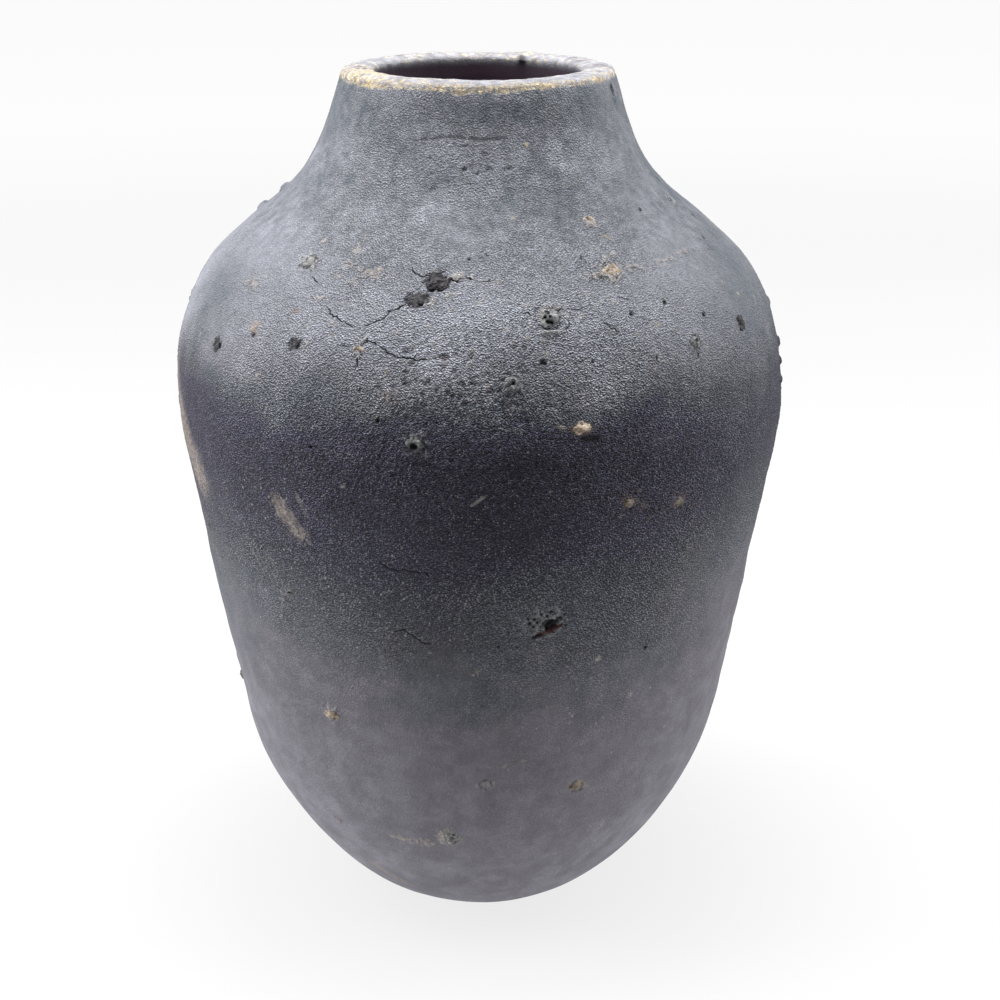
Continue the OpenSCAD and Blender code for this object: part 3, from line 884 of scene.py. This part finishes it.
# Inside: one coarse grid from the throat down to the middle of the floor
in_stops = [float(np.interp(-z, -inside[:, 1], along_in)) for z in reversed(seam_in)]
in_stops = [0] + in_stops + [along_in[-1]]
in_rows, in_courses = [0], []
for a, c in zip(in_stops[:-1], in_stops[1:]):
    count = max(2, math.ceil((c - a) / INNER_ROW))
    first = len(in_rows) - 1
    in_rows += list(np.linspace(a, c, count + 1)[1:])
    in_courses.append((first, len(in_rows) - 1))
in_s = np.array(in_rows)
in_r = np.interp(in_s, along_in, inside[:, 0])
in_z = np.interp(in_s, along_in, inside[:, 1])
inner = ring_points(in_r, in_z, coarse_bearing)
finger = lattice(np.stack([np.broadcast_to(np.degrees(coarse_bearing) * 0.02, inner.shape[:2]),
                           np.zeros(inner.shape[:2]), inner[..., 2] / 7], -1), 1, 31)
in_relief = 0.5 * finger + 0.4 * lattice(inner, 22, 32) + 0.25 * lattice(inner, 7, 33)
in_relief = in_relief * smooth(0, 12, in_s)[:, None] * smooth(2, 14, in_r)[:, None]
inner[..., 0] -= np.sin(coarse_bearing) * in_relief * smooth(15, 22, in_z)[:, None]
inner[..., 1] += np.cos(coarse_bearing) * in_relief * smooth(15, 22, in_z)[:, None]
inner[..., 2] += in_relief * smooth(22, 15, in_z)[:, None]
inner[..., 0] += by_height(HAND_WOBBLE, in_z)[:, None]
inner_normals = grid_normals(inner)

# Underside: a coarse grid from its middle to the foot's edge
under_r = np.linspace(1.5, start_r, 19)[:-1]
under = ring_points(under_r, np.zeros(18), coarse_bearing)
under_relief = np.clip(0.5 + lattice(under, 9, 41) + 0.5 * lattice(under, 2.5, 42), 0, 2)
under[..., 2] += 0.22 * under_relief * smooth(start_r, start_r - 5, under_r)[:, None]
under[..., 0] += drift_x[0]
under_normals = grid_normals(under)

skin_paint = dict(paint, tone=tone, grain=rough * (1 - 0.3 * calmer), speckle=speckle, inside=inside_out)
plain = {name: 3 if name == "crack_d" else 0 for name in paint}
plain.update(tone=0.8, grain=0.3, speckle=0.3, inside=1)
under_paint = dict(plain, inside=0, tone=2, tan=0.15)
ATTRIBUTES = tuple(plain)

BLOCK_GAP = 0.004      # between the pieces of the unwrapped skin
# How high each part of a course reaches on the unwrapped skin: the outside, the upper seam, the
# inside, then the lower seam. The bowl has its floor's middle and its underside between those.
COURSE_BANDS = (0, 0.78, 0.81, 0.97, 1)
BOWL_BANDS = (0, 0.66, 0.69, 0.83, 0.85, 0.95, 0.98, 1)
STRIPS = 4             # the skin unwraps as this many strips


def into_scene(name, data):
    made = bpy.data.objects.new(name, data)
    bpy.context.scene.collection.objects.link(made)
    return made


def write_values(mesh, name, values):
    mesh.attributes.new(name, "FLOAT", "POINT").data.foreach_set("value", values.astype(np.float32))


class Builder:
    """One closed course, made of grid blocks joined end to end."""

    def __init__(self):
        self.points, self.normals, self.values = [], [], {a: [] for a in ATTRIBUTES}
        self.polygons, self.polygon_uv, self.flat = [], [], []
        self.count = 0

    def block(self, points, normals, values):
        n = points.shape[0] * points.shape[1]
        ids = np.arange(n).reshape(points.shape[:2]) + self.count
        self.count += n
        self.points.append(points.reshape(-1, 3))
        self.normals.append(normals.reshape(-1, 3))
        for a in ATTRIBUTES:
            v = values[a]
            self.values[a].append(np.full(n, v) if np.isscalar(v) else np.asarray(v).ravel())
        return ids

    def add(self, polygons, uv, flat=False):
        """Polygons of one size as an array, with a place on the unwrapped skin for each corner."""
        self.polygons.append(polygons)
        self.polygon_uv.append(uv)
        self.flat.append(np.full(len(polygons), flat))

    def grid(self, ids, low, high):
        """Quads between rows. They unwrap into the band from low to high."""
        m, n = ids.shape
        i, j = np.meshgrid(np.arange(m - 1), np.arange(n), indexing="ij")
        i, j = i.ravel(), j.ravel()
        k = (j + 1) % n
        polygons = np.c_[ids[i, j], ids[i, k], ids[i + 1, k], ids[i + 1, j]]
        self.add(polygons, self.place(j, n, [0, 1, 1, 0], [i, i, i + 1, i + 1], m - 1, low, high))

    def place(self, j, n, du, rows_, most, low, high):
        """Unwrapped places of polygons at columns j of n, with each corner's share across and row."""
        per = n // STRIPS
        strip = j // per
        tall = (high - low) / STRIPS
        uv = []
        for a, r in zip(du, rows_):
            x = (j - strip * per + a) / per
            y = low + tall * strip + BLOCK_GAP + (tall - 2 * BLOCK_GAP) * r / most
            uv.append(np.c_[BLOCK_GAP + (1 - 2 * BLOCK_GAP) * x, y])
        return np.stack(uv, 1)

    def seam(self, fine, coarse, low, high, fine_first=True):
        """Joins a fine row of ids to a coarse one."""
        j = np.arange(COARSE)
        k = (j + 1) % COARSE
        f = [fine[(j * JOIN + a) % COLUMNS] for a in range(JOIN + 1)]
        if fine_first:
            polygons = np.stack(f + [coarse[k], coarse[j]], 1)
            du = [a / JOIN for a in range(JOIN + 1)] + [1, 0]
            rows_ = [0] * (JOIN + 1) + [1, 1]
        else:
            polygons = np.stack([coarse[j], coarse[k]] + f[::-1], 1)
            du = [0, 1] + [a / JOIN for a in range(JOIN, -1, -1)]
            rows_ = [0, 0] + [1] * (JOIN + 1)
        self.add(polygons, self.place(j, COARSE, du, rows_, 1, low, high), flat=True)

    def fan(self, ring, middle, normal, values, low, high, outward):
        """Closes a ring of ids with a middle point."""
        tip = self.block(np.array(middle, float).reshape(1, 1, 3),
                         np.array(normal, float).reshape(1, 1, 3), values)[0, 0]
        j = np.arange(COARSE)
        k = (j + 1) % COARSE
        if outward:
            polygons = np.c_[np.full(COARSE, tip), ring[k], ring[j]]
            du, rows_ = [0.5, 1, 0], [0, 1, 1]
        else:
            polygons = np.c_[ring[j], ring[k], np.full(COARSE, tip)]
            du, rows_ = [0, 1, 0.5], [0, 0, 1]
        self.add(polygons, self.place(j, COARSE, du, rows_, 1, low, high))

    def object(self, name, material):
        sizes = np.concatenate([np.full(len(p), p.shape[1]) for p in self.polygons])
        corners = np.concatenate([p.ravel() for p in self.polygons]).astype(np.int32)
        uv = np.concatenate([u.reshape(-1, 2) for u in self.polygon_uv]).astype(np.float32)
        points = np.vstack(self.points)
        normals = np.vstack(self.normals)
        mesh = bpy.data.meshes.new(name)
        mesh.vertices.add(len(points))
        mesh.vertices.foreach_set("co", (points * MM).astype(np.float32).ravel())
        mesh.loops.add(len(corners))
        mesh.loops.foreach_set("vertex_index", corners)
        mesh.polygons.add(len(sizes))
        starts = np.r_[0, np.cumsum(sizes)[:-1]].astype(np.int32)
        mesh.polygons.foreach_set("loop_start", starts)
        mesh.update(calc_edges=True)
        layer = mesh.uv_layers.new(name="OFBake")
        layer.data.foreach_set("uv", uv.ravel())
        mesh.polygons.foreach_set("use_smooth", np.ones(len(sizes), bool))
        # The skin's own normals carry on across the seams, and the hidden seam faces stay flat
        loop_normals = normals[corners]
        flat = np.repeat(np.concatenate(self.flat), sizes)
        face_normals = np.empty(len(sizes) * 3, np.float32)
        mesh.polygons.foreach_get("normal", face_normals)
        loop_normals[flat] = np.repeat(face_normals.reshape(-1, 3), sizes, axis=0)[flat]
        mesh.normals_split_custom_set(loop_normals.tolist())
        for a in ATTRIBUTES:
            write_values(mesh, a, np.concatenate(self.values[a]))
        mesh.materials.append(material)
        return into_scene(name, mesh)


# ---- materials

class Shader:
    """Short calls for building a node tree."""

    def __init__(self, name):
        self.material = bpy.data.materials.new(name)
        self.material.use_nodes = True
        self.nodes = self.material.node_tree.nodes
        self.links = self.material.node_tree.links
        self.out = self.nodes["Principled BSDF"]

    def put(self, socket, value):
        if hasattr(value, "is_output"):
            self.links.new(value, socket)
        elif isinstance(value, tuple) and len(value) == 3 and socket.type == "RGBA":
            socket.default_value = value + (1,)
        else:
            socket.default_value = value

    def surface(self, **values):
        """Sets the surface's own sockets, with _ for a space in each name."""
        for name, value in values.items():
            self.put(self.out.inputs[name.replace("_", " ")], value)

    def node(self, kind, inputs=(), **settings):
        n = self.nodes.new(kind)
        for key, value in settings.items():
            setattr(n, key, value)
        for key, value in dict(inputs).items():
            self.put(n.inputs[key], value)
        return n

    def attribute(self, name):
        return self.node("ShaderNodeAttribute", attribute_name=name).outputs["Fac"]

    def noise(self, scale, detail=3, roughness=0.55):
        look = {"Vector": self.place, "Scale": scale, "Detail": detail, "Roughness": roughness}
        return self.node("ShaderNodeTexNoise", look).outputs["Fac"]

    def math(self, operation, a, b=0, clamp=False):
        n = self.node("ShaderNodeMath", {0: a, 1: b}, operation=operation, use_clamp=clamp)
        return n.outputs[0]

    def times(self, a, b, clamp=False):
        return self.math("MULTIPLY", a, b, clamp)

    def plus(self, a, b, clamp=False):
        return self.math("ADD", a, b, clamp)

    def less(self, a, b):
        return self.math("SUBTRACT", a, b)

    def span(self, value, low, high, to_low=0, to_high=1):
        ends = {"Value": value, "From Min": low, "From Max": high, "To Min": to_low, "To Max": to_high}
        return self.node("ShaderNodeMapRange", ends, interpolation_type="SMOOTHSTEP").outputs[0]

    def mix(self, factor, a, b, blend="MIX"):
        n = self.nodes.new("ShaderNodeMix")
        n.data_type, n.blend_type = "RGBA", blend
        self.put(n.inputs[0], factor)
        self.put(n.inputs[6], a)
        self.put(n.inputs[7], b)
        return n.outputs[2]

    def scaled(self, colour, factor):
        return self.node("ShaderNodeVectorMath", {0: colour, "Scale": factor}, operation="SCALE").outputs[0]

    @property
    def place(self):
        if not hasattr(self, "_place"):
            self._place = self.node("ShaderNodeTexCoord").outputs["Object"]
        return self._place


def clay_material(name, worn):
    """Smoked sandy clay. Worn is the two colours where the smoke has rubbed off."""
    s = Shader(name)
    tone_, grain = s.attribute("tone"), s.attribute("grain")
    inside_ = s.attribute("inside")
    cloud = s.noise(28, 4)
    blotch = s.noise(95, 5, 0.6)
    fine = s.noise(2000, 1, 0.5)
    # Where the tone is high, from ash and from painted light, the clay is paler and rougher
    ash_and_painted_light = s.span(tone_, 1.25, 1.75)
    # Grains of sand packed side by side, each a low dome of its own height and shade
    cells = s.node("ShaderNodeTexVoronoi", {"Vector": s.place, "Scale": 1420}, feature="F1")
    which = s.node("ShaderNodeSeparateColor", {0: cells.outputs["Color"]})
    dome = s.times(s.span(cells.outputs["Distance"], 0.05, 0.72, 1, 0),
                  s.span(which.outputs[1], 0, 1, 0.4, 1))
    speckle_and_tip_light_ = s.attribute("speckle")
    strength = s.plus(grain, 0.1)
    crack_core = s.span(s.math("ABSOLUTE", s.attribute("crack_d")), 0.34, 0.10)
    crack_line = s.times(crack_core, s.span(s.attribute("crack_k"), 0.15, 0.7))
    bumps = s.plus(s.times(dome, 0.28), s.times(fine, 0.62))
    bumps = s.less(s.times(bumps, strength), s.times(crack_line, 0.4))
    bumped = s.node("ShaderNodeBump", {"Height": bumps, "Strength": 1, "Distance": 0.00125}).outputs[0]
    # Painted light from above: the upper side of each grain is painted paler and its underside darker
    lean = s.node("ShaderNodeVectorMath", {0: bumped, 1: s.node("ShaderNodeNewGeometry").outputs["Normal"]},
                  operation="SUBTRACT").outputs[0]
    upward = s.node("ShaderNodeSeparateXYZ", {0: lean}).outputs[2]
    smoked = s.mix(s.span(cloud, 0.36, 0.66), (0.074, 0.079, 0.095), (0.080, 0.080, 0.092))
    smoked = s.mix(s.span(blotch, 0.45, 0.75), smoked, (0.0765, 0.0815, 0.097))
    # Where the tone is lowest, mostly painted shade on the belly, the colour turns violet
    smoked = s.mix(s.span(tone_, 1.05, 0.45), smoked, (0.0795, 0.0755, 0.118))
    smoked = s.mix(ash_and_painted_light, smoked, (0.084, 0.081, 0.093))
    # The shoulder and neck are cooler than the belly
    high = s.span(s.node("ShaderNodeSeparateXYZ", {0: s.place}).outputs[2], 0.222, 0.252)
    smoked = s.mix(high, smoked, (0.925, 1, 0.99), "MULTIPLY")
    colour = s.scaled(smoked, tone_)
    # Painted glints: some grains get a painted highlight at their tops, strongest where the tone is dark
    glint = s.times(s.span(which.outputs[2], 0.66, 1), s.span(cells.outputs["Distance"], 0.5, 0.1))
    painted_tip_light = s.plus(s.times(s.less(dome, 0.36), 0.5), s.times(upward, 1.1))
    painted_tip_light = s.plus(painted_tip_light, s.times(s.less(fine, 0.5), 0.9))
    glint = s.times(glint, s.span(tone_, 0.5, 1.4, 1.2, 0.45))
    painted_tip_light = s.plus(glint, s.less(painted_tip_light, s.span(tone_, 0.5, 1.4, 0.1, 0.05)))
    painted_tip_light = s.math("MAXIMUM", s.times(painted_tip_light, speckle_and_tip_light_), -0.8)
    colour = s.scaled(colour, s.plus(1, s.math("MINIMUM", painted_tip_light, 3.2)))
    # A few sand grains are pale or buff
    sandy = s.times(s.span(which.outputs[0], 0.90, 0.93), s.span(cells.outputs["Distance"], 0.42, 0.25))
    sandy = s.times(s.times(sandy, speckle_and_tip_light_), s.less(1, inside_))
    sandy = s.times(sandy, s.span(tone_, 0.5, 1.5, 0.2, 0.75), clamp=True)
    colour = s.mix(sandy, colour, s.mix(which.outputs[2], (0.26, 0.235, 0.19), (0.21, 0.215, 0.22)))
    # Stains, each broken up by the grain
    broken = s.span(s.noise(700, 3, 0.65), 0.36, 0.62, 0.35, 1)
    buff = s.mix(s.noise(500, 3), (0.20, 0.135, 0.095), (0.42, 0.31, 0.21))
    pale = s.mix(s.span(s.noise(760, 3, 0.7), 0.35, 0.65), *worn)
    white = s.mix(s.noise(800, 3), (0.22, 0.225, 0.235), (0.52, 0.52, 0.51))
    for stain_name, stained in (("tan", buff), ("cream", pale), ("lime", white)):
        colour = s.mix(s.times(s.attribute(stain_name), broken), colour, stained)
    colour = s.mix(s.attribute("red"), colour, (0.058, 0.018, 0.015))
    deep = s.mix(s.noise(70, 4), (0.028, 0.015, 0.025), (0.064, 0.037, 0.056))
    colour = s.mix(s.times(inside_, 0.97), colour, deep)
    # Painted shade: the dark paint turns pores, hollows, the gouge and the gaps under grains near black; on
    # the knob at the back it is the clay's own dark
    colour = s.mix(s.times(s.attribute("dark"), 0.94), colour, (0.008, 0.008, 0.010))
    # Painted shade in the cracks: their lines are painted near black
    colour = s.mix(crack_line, colour, (0.006, 0.006, 0.008))
    rough_ = s.less(s.span(blotch, 0.3, 0.7, 0.78, 0.90), s.times(dome, 0.10))
    rough_ = s.plus(rough_, s.times(ash_and_painted_light, 0.06), clamp=True)
    s.surface(Base_Color=colour, Roughness=rough_, Specular_IOR_Level=0.30, Normal=bumped)
    return s.material


black_clay = clay_material("smoked clay", ((0.22, 0.205, 0.185), (0.56, 0.53, 0.48)))
worn_clay = clay_material("worn smoked clay", ((0.30, 0.21, 0.09), (0.70, 0.58, 0.34)))

# ---- courses

for k, name in enumerate(CLAY):
    b = Builder()
    bowl, top = k == 0, k == len(CLAY) - 1
    at = BOWL_BANDS if bowl else COURSE_BANDS
    first, last = course_rows[k]
    values = {a: v[first:last + 1] for a, v in skin_paint.items()}
    rows_here = b.block(skin[first:last + 1], skin_normals[first:last + 1], values)
    b.grid(rows_here, *at[0:2])
    # The throat's own rows already hold the first row of the inside
    first, last = in_courses[len(CLAY) - 1 - k]
    first += top
    ids = b.block(inner[first:last + 1], inner_normals[first:last + 1], plain)
    b.seam(rows_here[-1], ids[0], *at[1:3])
    b.grid(ids, *at[2:4])
    if bowl:
        b.fan(ids[-1], (drift_x[0], 0, in_z[-1]), (0, 0, 1), plain, *at[3:5], outward=False)
        ids = b.block(under, under_normals, under_paint)
        b.grid(ids, *at[4:6])
        b.seam(rows_here[0], ids[-1], *at[5:7], fine_first=False)
        b.fan(ids[0], (drift_x[0], 0, 0.1), (0, 0, -1), under_paint, *at[6:8], outward=True)
    else:
        b.seam(rows_here[0], ids[-1], *at[3:5], fine_first=False)
    made = b.object(name + "_skin", worn_clay if name == "rim_coil" else black_clay)
    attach(made, "root")
    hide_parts(name)

# ---- lumps

def lump_material(name, dark, light, pores, roughness):
    s = Shader(name)
    mottle = s.span(s.noise(420, 4, 0.65), 0.35, 0.65)
    colour = s.mix(mottle, dark, light)
    colour = s.mix(s.attribute("clean"), (0.045, 0.045, 0.050), colour)
    # Painted shade: pores and burst holes in the lumps are painted near black
    hole = s.span(s.noise(900, 2), 0.60, 0.68)
    colour = s.mix(s.times(hole, pores), colour, (0.012, 0.011, 0.012))
    colour = s.mix(s.span(s.attribute("hole"), 0.25, 0.6), colour, (0.006, 0.006, 0.007))
    s.surface(Base_Color=colour, Specular_IOR_Level=0.35)
    s.surface(Roughness=s.span(mottle, 0, 1, roughness, roughness - 0.14))
    height = s.plus(s.noise(1300, 3, 0.65), s.times(hole, -0.6))
    bumped = s.node("ShaderNodeBump", {"Height": height, "Strength": 0.8, "Distance": 0.0005})
    s.surface(Normal=bumped.outputs[0])
    return s.material


# An even ball, the start of every lump
ball_mesh = bmesh.new()
bmesh.ops.create_icosphere(ball_mesh, subdivisions=6, radius=1)
ball_points = np.array([v.co for v in ball_mesh.verts], float)
ball_faces = np.array([[v.index for v in f.verts] for f in ball_mesh.faces])
ball_mesh.free()
# How each kind of grain differs from a ball: flatness, size, roughness, and how deep it sits
LUMPS = {
    "lime_nodules": dict(flat=0.85, size=1.08, wide=1.05, rough=0.22, fine=0.09, sink=-0.36, slot="lime",
                         colours=((0.12, 0.125, 0.125), (0.34, 0.34, 0.33)), pores=0.5, sheen=0.92),
    "cinder_lumps": dict(flat=0.62, size=1.15, wide=1.12, rough=0.34, fine=0.15, sink=0, slot="cinder",
                         colours=((0.006, 0.006, 0.008), (0.038, 0.034, 0.039)), pores=0.95, sheen=0.75),
    "buff_grit": dict(flat=0.72, size=1, wide=1.45, rough=0.24, fine=0.08, sink=0, slot="buff_grit",
                      colours=((0.16, 0.11, 0.075), (0.55, 0.46, 0.35)), pores=0.8, sheen=0.85),
}
# Holes burst through the lime grains at some bearings, and through the rest: right and up of
# the middle, width and depth, in the grain's own radius
BURSTS = {
    13: ((0.02, 0.5, 0.24, 0.9), (-0.3, -0.04, 0.15, 0.7), (0.12, -0.06, 0.12, 0.5),
         (-0.08, -0.46, 0.2, 0.6), (0.2, -0.5, 0.18, 0.6)),
    -10: ((-0.1, -0.32, 0.46, 0.8), (0.3, -0.5, 0.3, 0.6)),
    -7: ((0.5, 0, 0.05, 0.1),),
    -40: ((-0.2, 0.15, 0.2, 0.8),),
}
ANY_BURST = ((0, 0.15, 0.26, 0.9),)
# How clean some grains are of soot, by kind and bearing; a grain not named here is half clean
CLEAN = {
    "lime_nodules": {13: 0.75, -10: 0.45, -40: 0.8, 42: 0.6, -7: 0.95},
    "cinder_lumps": {},
    "buff_grit": {17: 1, 30: 0.62, 31: 0.6, -45: 0.65, 26: 0.42, 37: 0.32, 21: 0.46, -32: 0.7, -21: 0.75},
}
wall_rows = int(np.argmax(Z))
for name, kind in LUMPS.items():
    points, faces, holes, shades = [], [], [], []
    for n, (middle, r) in enumerate(places[name]):
        at_bearing = math.degrees(math.atan2(middle[0], -middle[1]))
        hole = np.zeros(len(ball_points))
        out = Vector((middle[0], middle[1], 0)).normalized()
        z = float(middle[2])
        row = int(np.argmin(np.abs(Z[:wall_rows] - z)))
        out = np.array([out.x * NR[row], out.y * NR[row], NZ[row]])
        p = ball_points * r * kind["size"]
        swell = 0.9 * lattice(p + 31 * n, r * 0.95, 51) + 0.5 * lattice(p + 31 * n, r * 0.5, 52)
        crumb = lattice(p + 77 * n, max(0.7, r * 0.16), 54)
        p = p * (1 + kind["rough"] * swell + kind["fine"] * crumb)[:, None]
        to_right = np.cross([0, 0, 1], out)
        to_right = to_right / np.linalg.norm(to_right)
        p = p + np.outer(p @ to_right, to_right) * (kind["wide"] - 1)
        if name == "lime_nodules":
            right, forward = ball_points @ to_right, ball_points @ out
            up = ball_points @ np.cross(out, to_right)
            near = [b for b in BURSTS if abs(at_bearing - b) < 2]
            for hole_right, hole_up, width, depth in BURSTS[near[0]] if near else ANY_BURST:
                away = np.hypot(right - hole_right, up - hole_up) / width
                front = smooth(0, 0.3, forward)
                dip = np.exp(-(away**4)) * front
                edge_up = 0.07 * bell(away - 1.5, 0.3) * front
                p = p + (r * (edge_up - depth * dip))[:, None] * out
                hole = np.maximum(hole, dip)
        p = p - np.outer(p @ out, out) * (1 - kind["flat"])
        points.append(p + middle - out * kind["sink"] * r + [by_height(HAND_WOBBLE, z), 0, 0])
        faces.append(ball_faces + n * len(ball_points))
        holes.append(hole)
        named = [v for b, v in CLEAN[name].items() if abs(at_bearing - b) < 2]
        shades.append(np.full(len(hole), (named or [0.5])[0] if CLEAN[name] else 1))
    mesh = bpy.data.meshes.new(name + "_skin")
    mesh.from_pydata((np.vstack(points) * MM).tolist(), [], np.vstack(faces).tolist())
    mesh.shade_smooth()
    write_values(mesh, "hole", np.concatenate(holes))
    write_values(mesh, "clean", np.concatenate(shades))
    mesh.materials.append(lump_material(name + " clay", *kind["colours"], kind["pores"], kind["sheen"]))
    made = into_scene(name + "_skin", mesh)
    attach(made, "root")
    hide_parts(name)

# ---- studio

scene = bpy.context.scene
scene.view_settings.view_transform = "Standard"

h = 8.0                # half the floor's side
FLOOR_DROP = 0.0004    # keeps the floor clear of the foot
mesh = bpy.data.meshes.new("studio_floor")
corners = [(-h, -h), (h, -h), (h, h), (-h, h)]
mesh.from_pydata([(x, y, -FLOOR_DROP) for x, y in corners], [], [(0, 1, 2, 3)])
# A white table lit from below, as for a cut-out picture, a little brighter away from the pot
paper = Shader("glowing white table")
away = paper.node("ShaderNodeVectorMath", {0: paper.place}, operation="LENGTH").outputs["Value"]
whites = paper.mix(paper.noise(3), (0.118, 0.118, 0.118), (0.122, 0.122, 0.122))
paper.surface(Base_Color=whites, Roughness=0.95, Specular_IOR_Level=0, Emission_Color=(1, 1, 1))
paper.surface(Emission_Strength=paper.span(away, 0.6, 2.4, 0.79, 0.96))
mesh.materials.append(paper.material)
floor = into_scene("studio_floor", mesh)


def lamp(name, at, width, height, watts, aim=(0, 0, 0.17)):
    light = bpy.data.lights.new(name, "AREA")
    light.shape = "RECTANGLE"
    light.size, light.size_y = width, height
    light.energy = watts
    made = into_scene(name, light)
    made.location = at
    made.rotation_euler = (Vector(aim) - Vector(at)).to_track_quat("-Z", "Y").to_euler()
    made.visible_camera = False


lamp("overhead_wide", (0, 0, 1.5), 1.4, 1.4, 19.8)
lamp("overhead", (0, 0.05, 1.2), 0.5, 0.5, 11.4)
lamp("high_left", (-1, 0, 1.2), 0.8, 0.8, 13.7)
lamp("high_right", (1, 0, 1.2), 0.8, 0.8, 7.7)
lamp("left", (-1.1, 0, 0.3), 0.6, 0.6, 10.8)
lamp("right", (1.1, 0, 0.3), 0.6, 0.6, 5.6)
lamp("back_right", (0.85, 0.8, 0.35), 0.6, 0.6, 1.1)

world = bpy.data.worlds.new("studio")
scene.world = world
world.use_nodes = True
sky = world.node_tree
seen = sky.nodes.new("ShaderNodeLightPath")
backdrop = sky.nodes["Background"]
backdrop.inputs["Color"].default_value = (0.96, 0.96, 0.96, 1)
sky.links.new(seen.outputs["Is Camera Ray"], backdrop.inputs["Strength"])

CAMERA_AT = (0, -0.660, 0.4052)
LOOKS_DOWN_DEG = 20.48
SENSOR_MM, LENS_MM = 36, 62.9
SHIFT = 0.021          # the pot stands a little left of the middle of the picture
camera = bpy.data.cameras.new("camera")
camera.sensor_width = SENSOR_MM
camera.lens = LENS_MM
camera.shift_x = SHIFT
eye = into_scene("camera", camera)
eye.location = CAMERA_AT
eye.rotation_euler = (math.radians(90 - LOOKS_DOWN_DEG), 0, 0)
scene.camera = eye
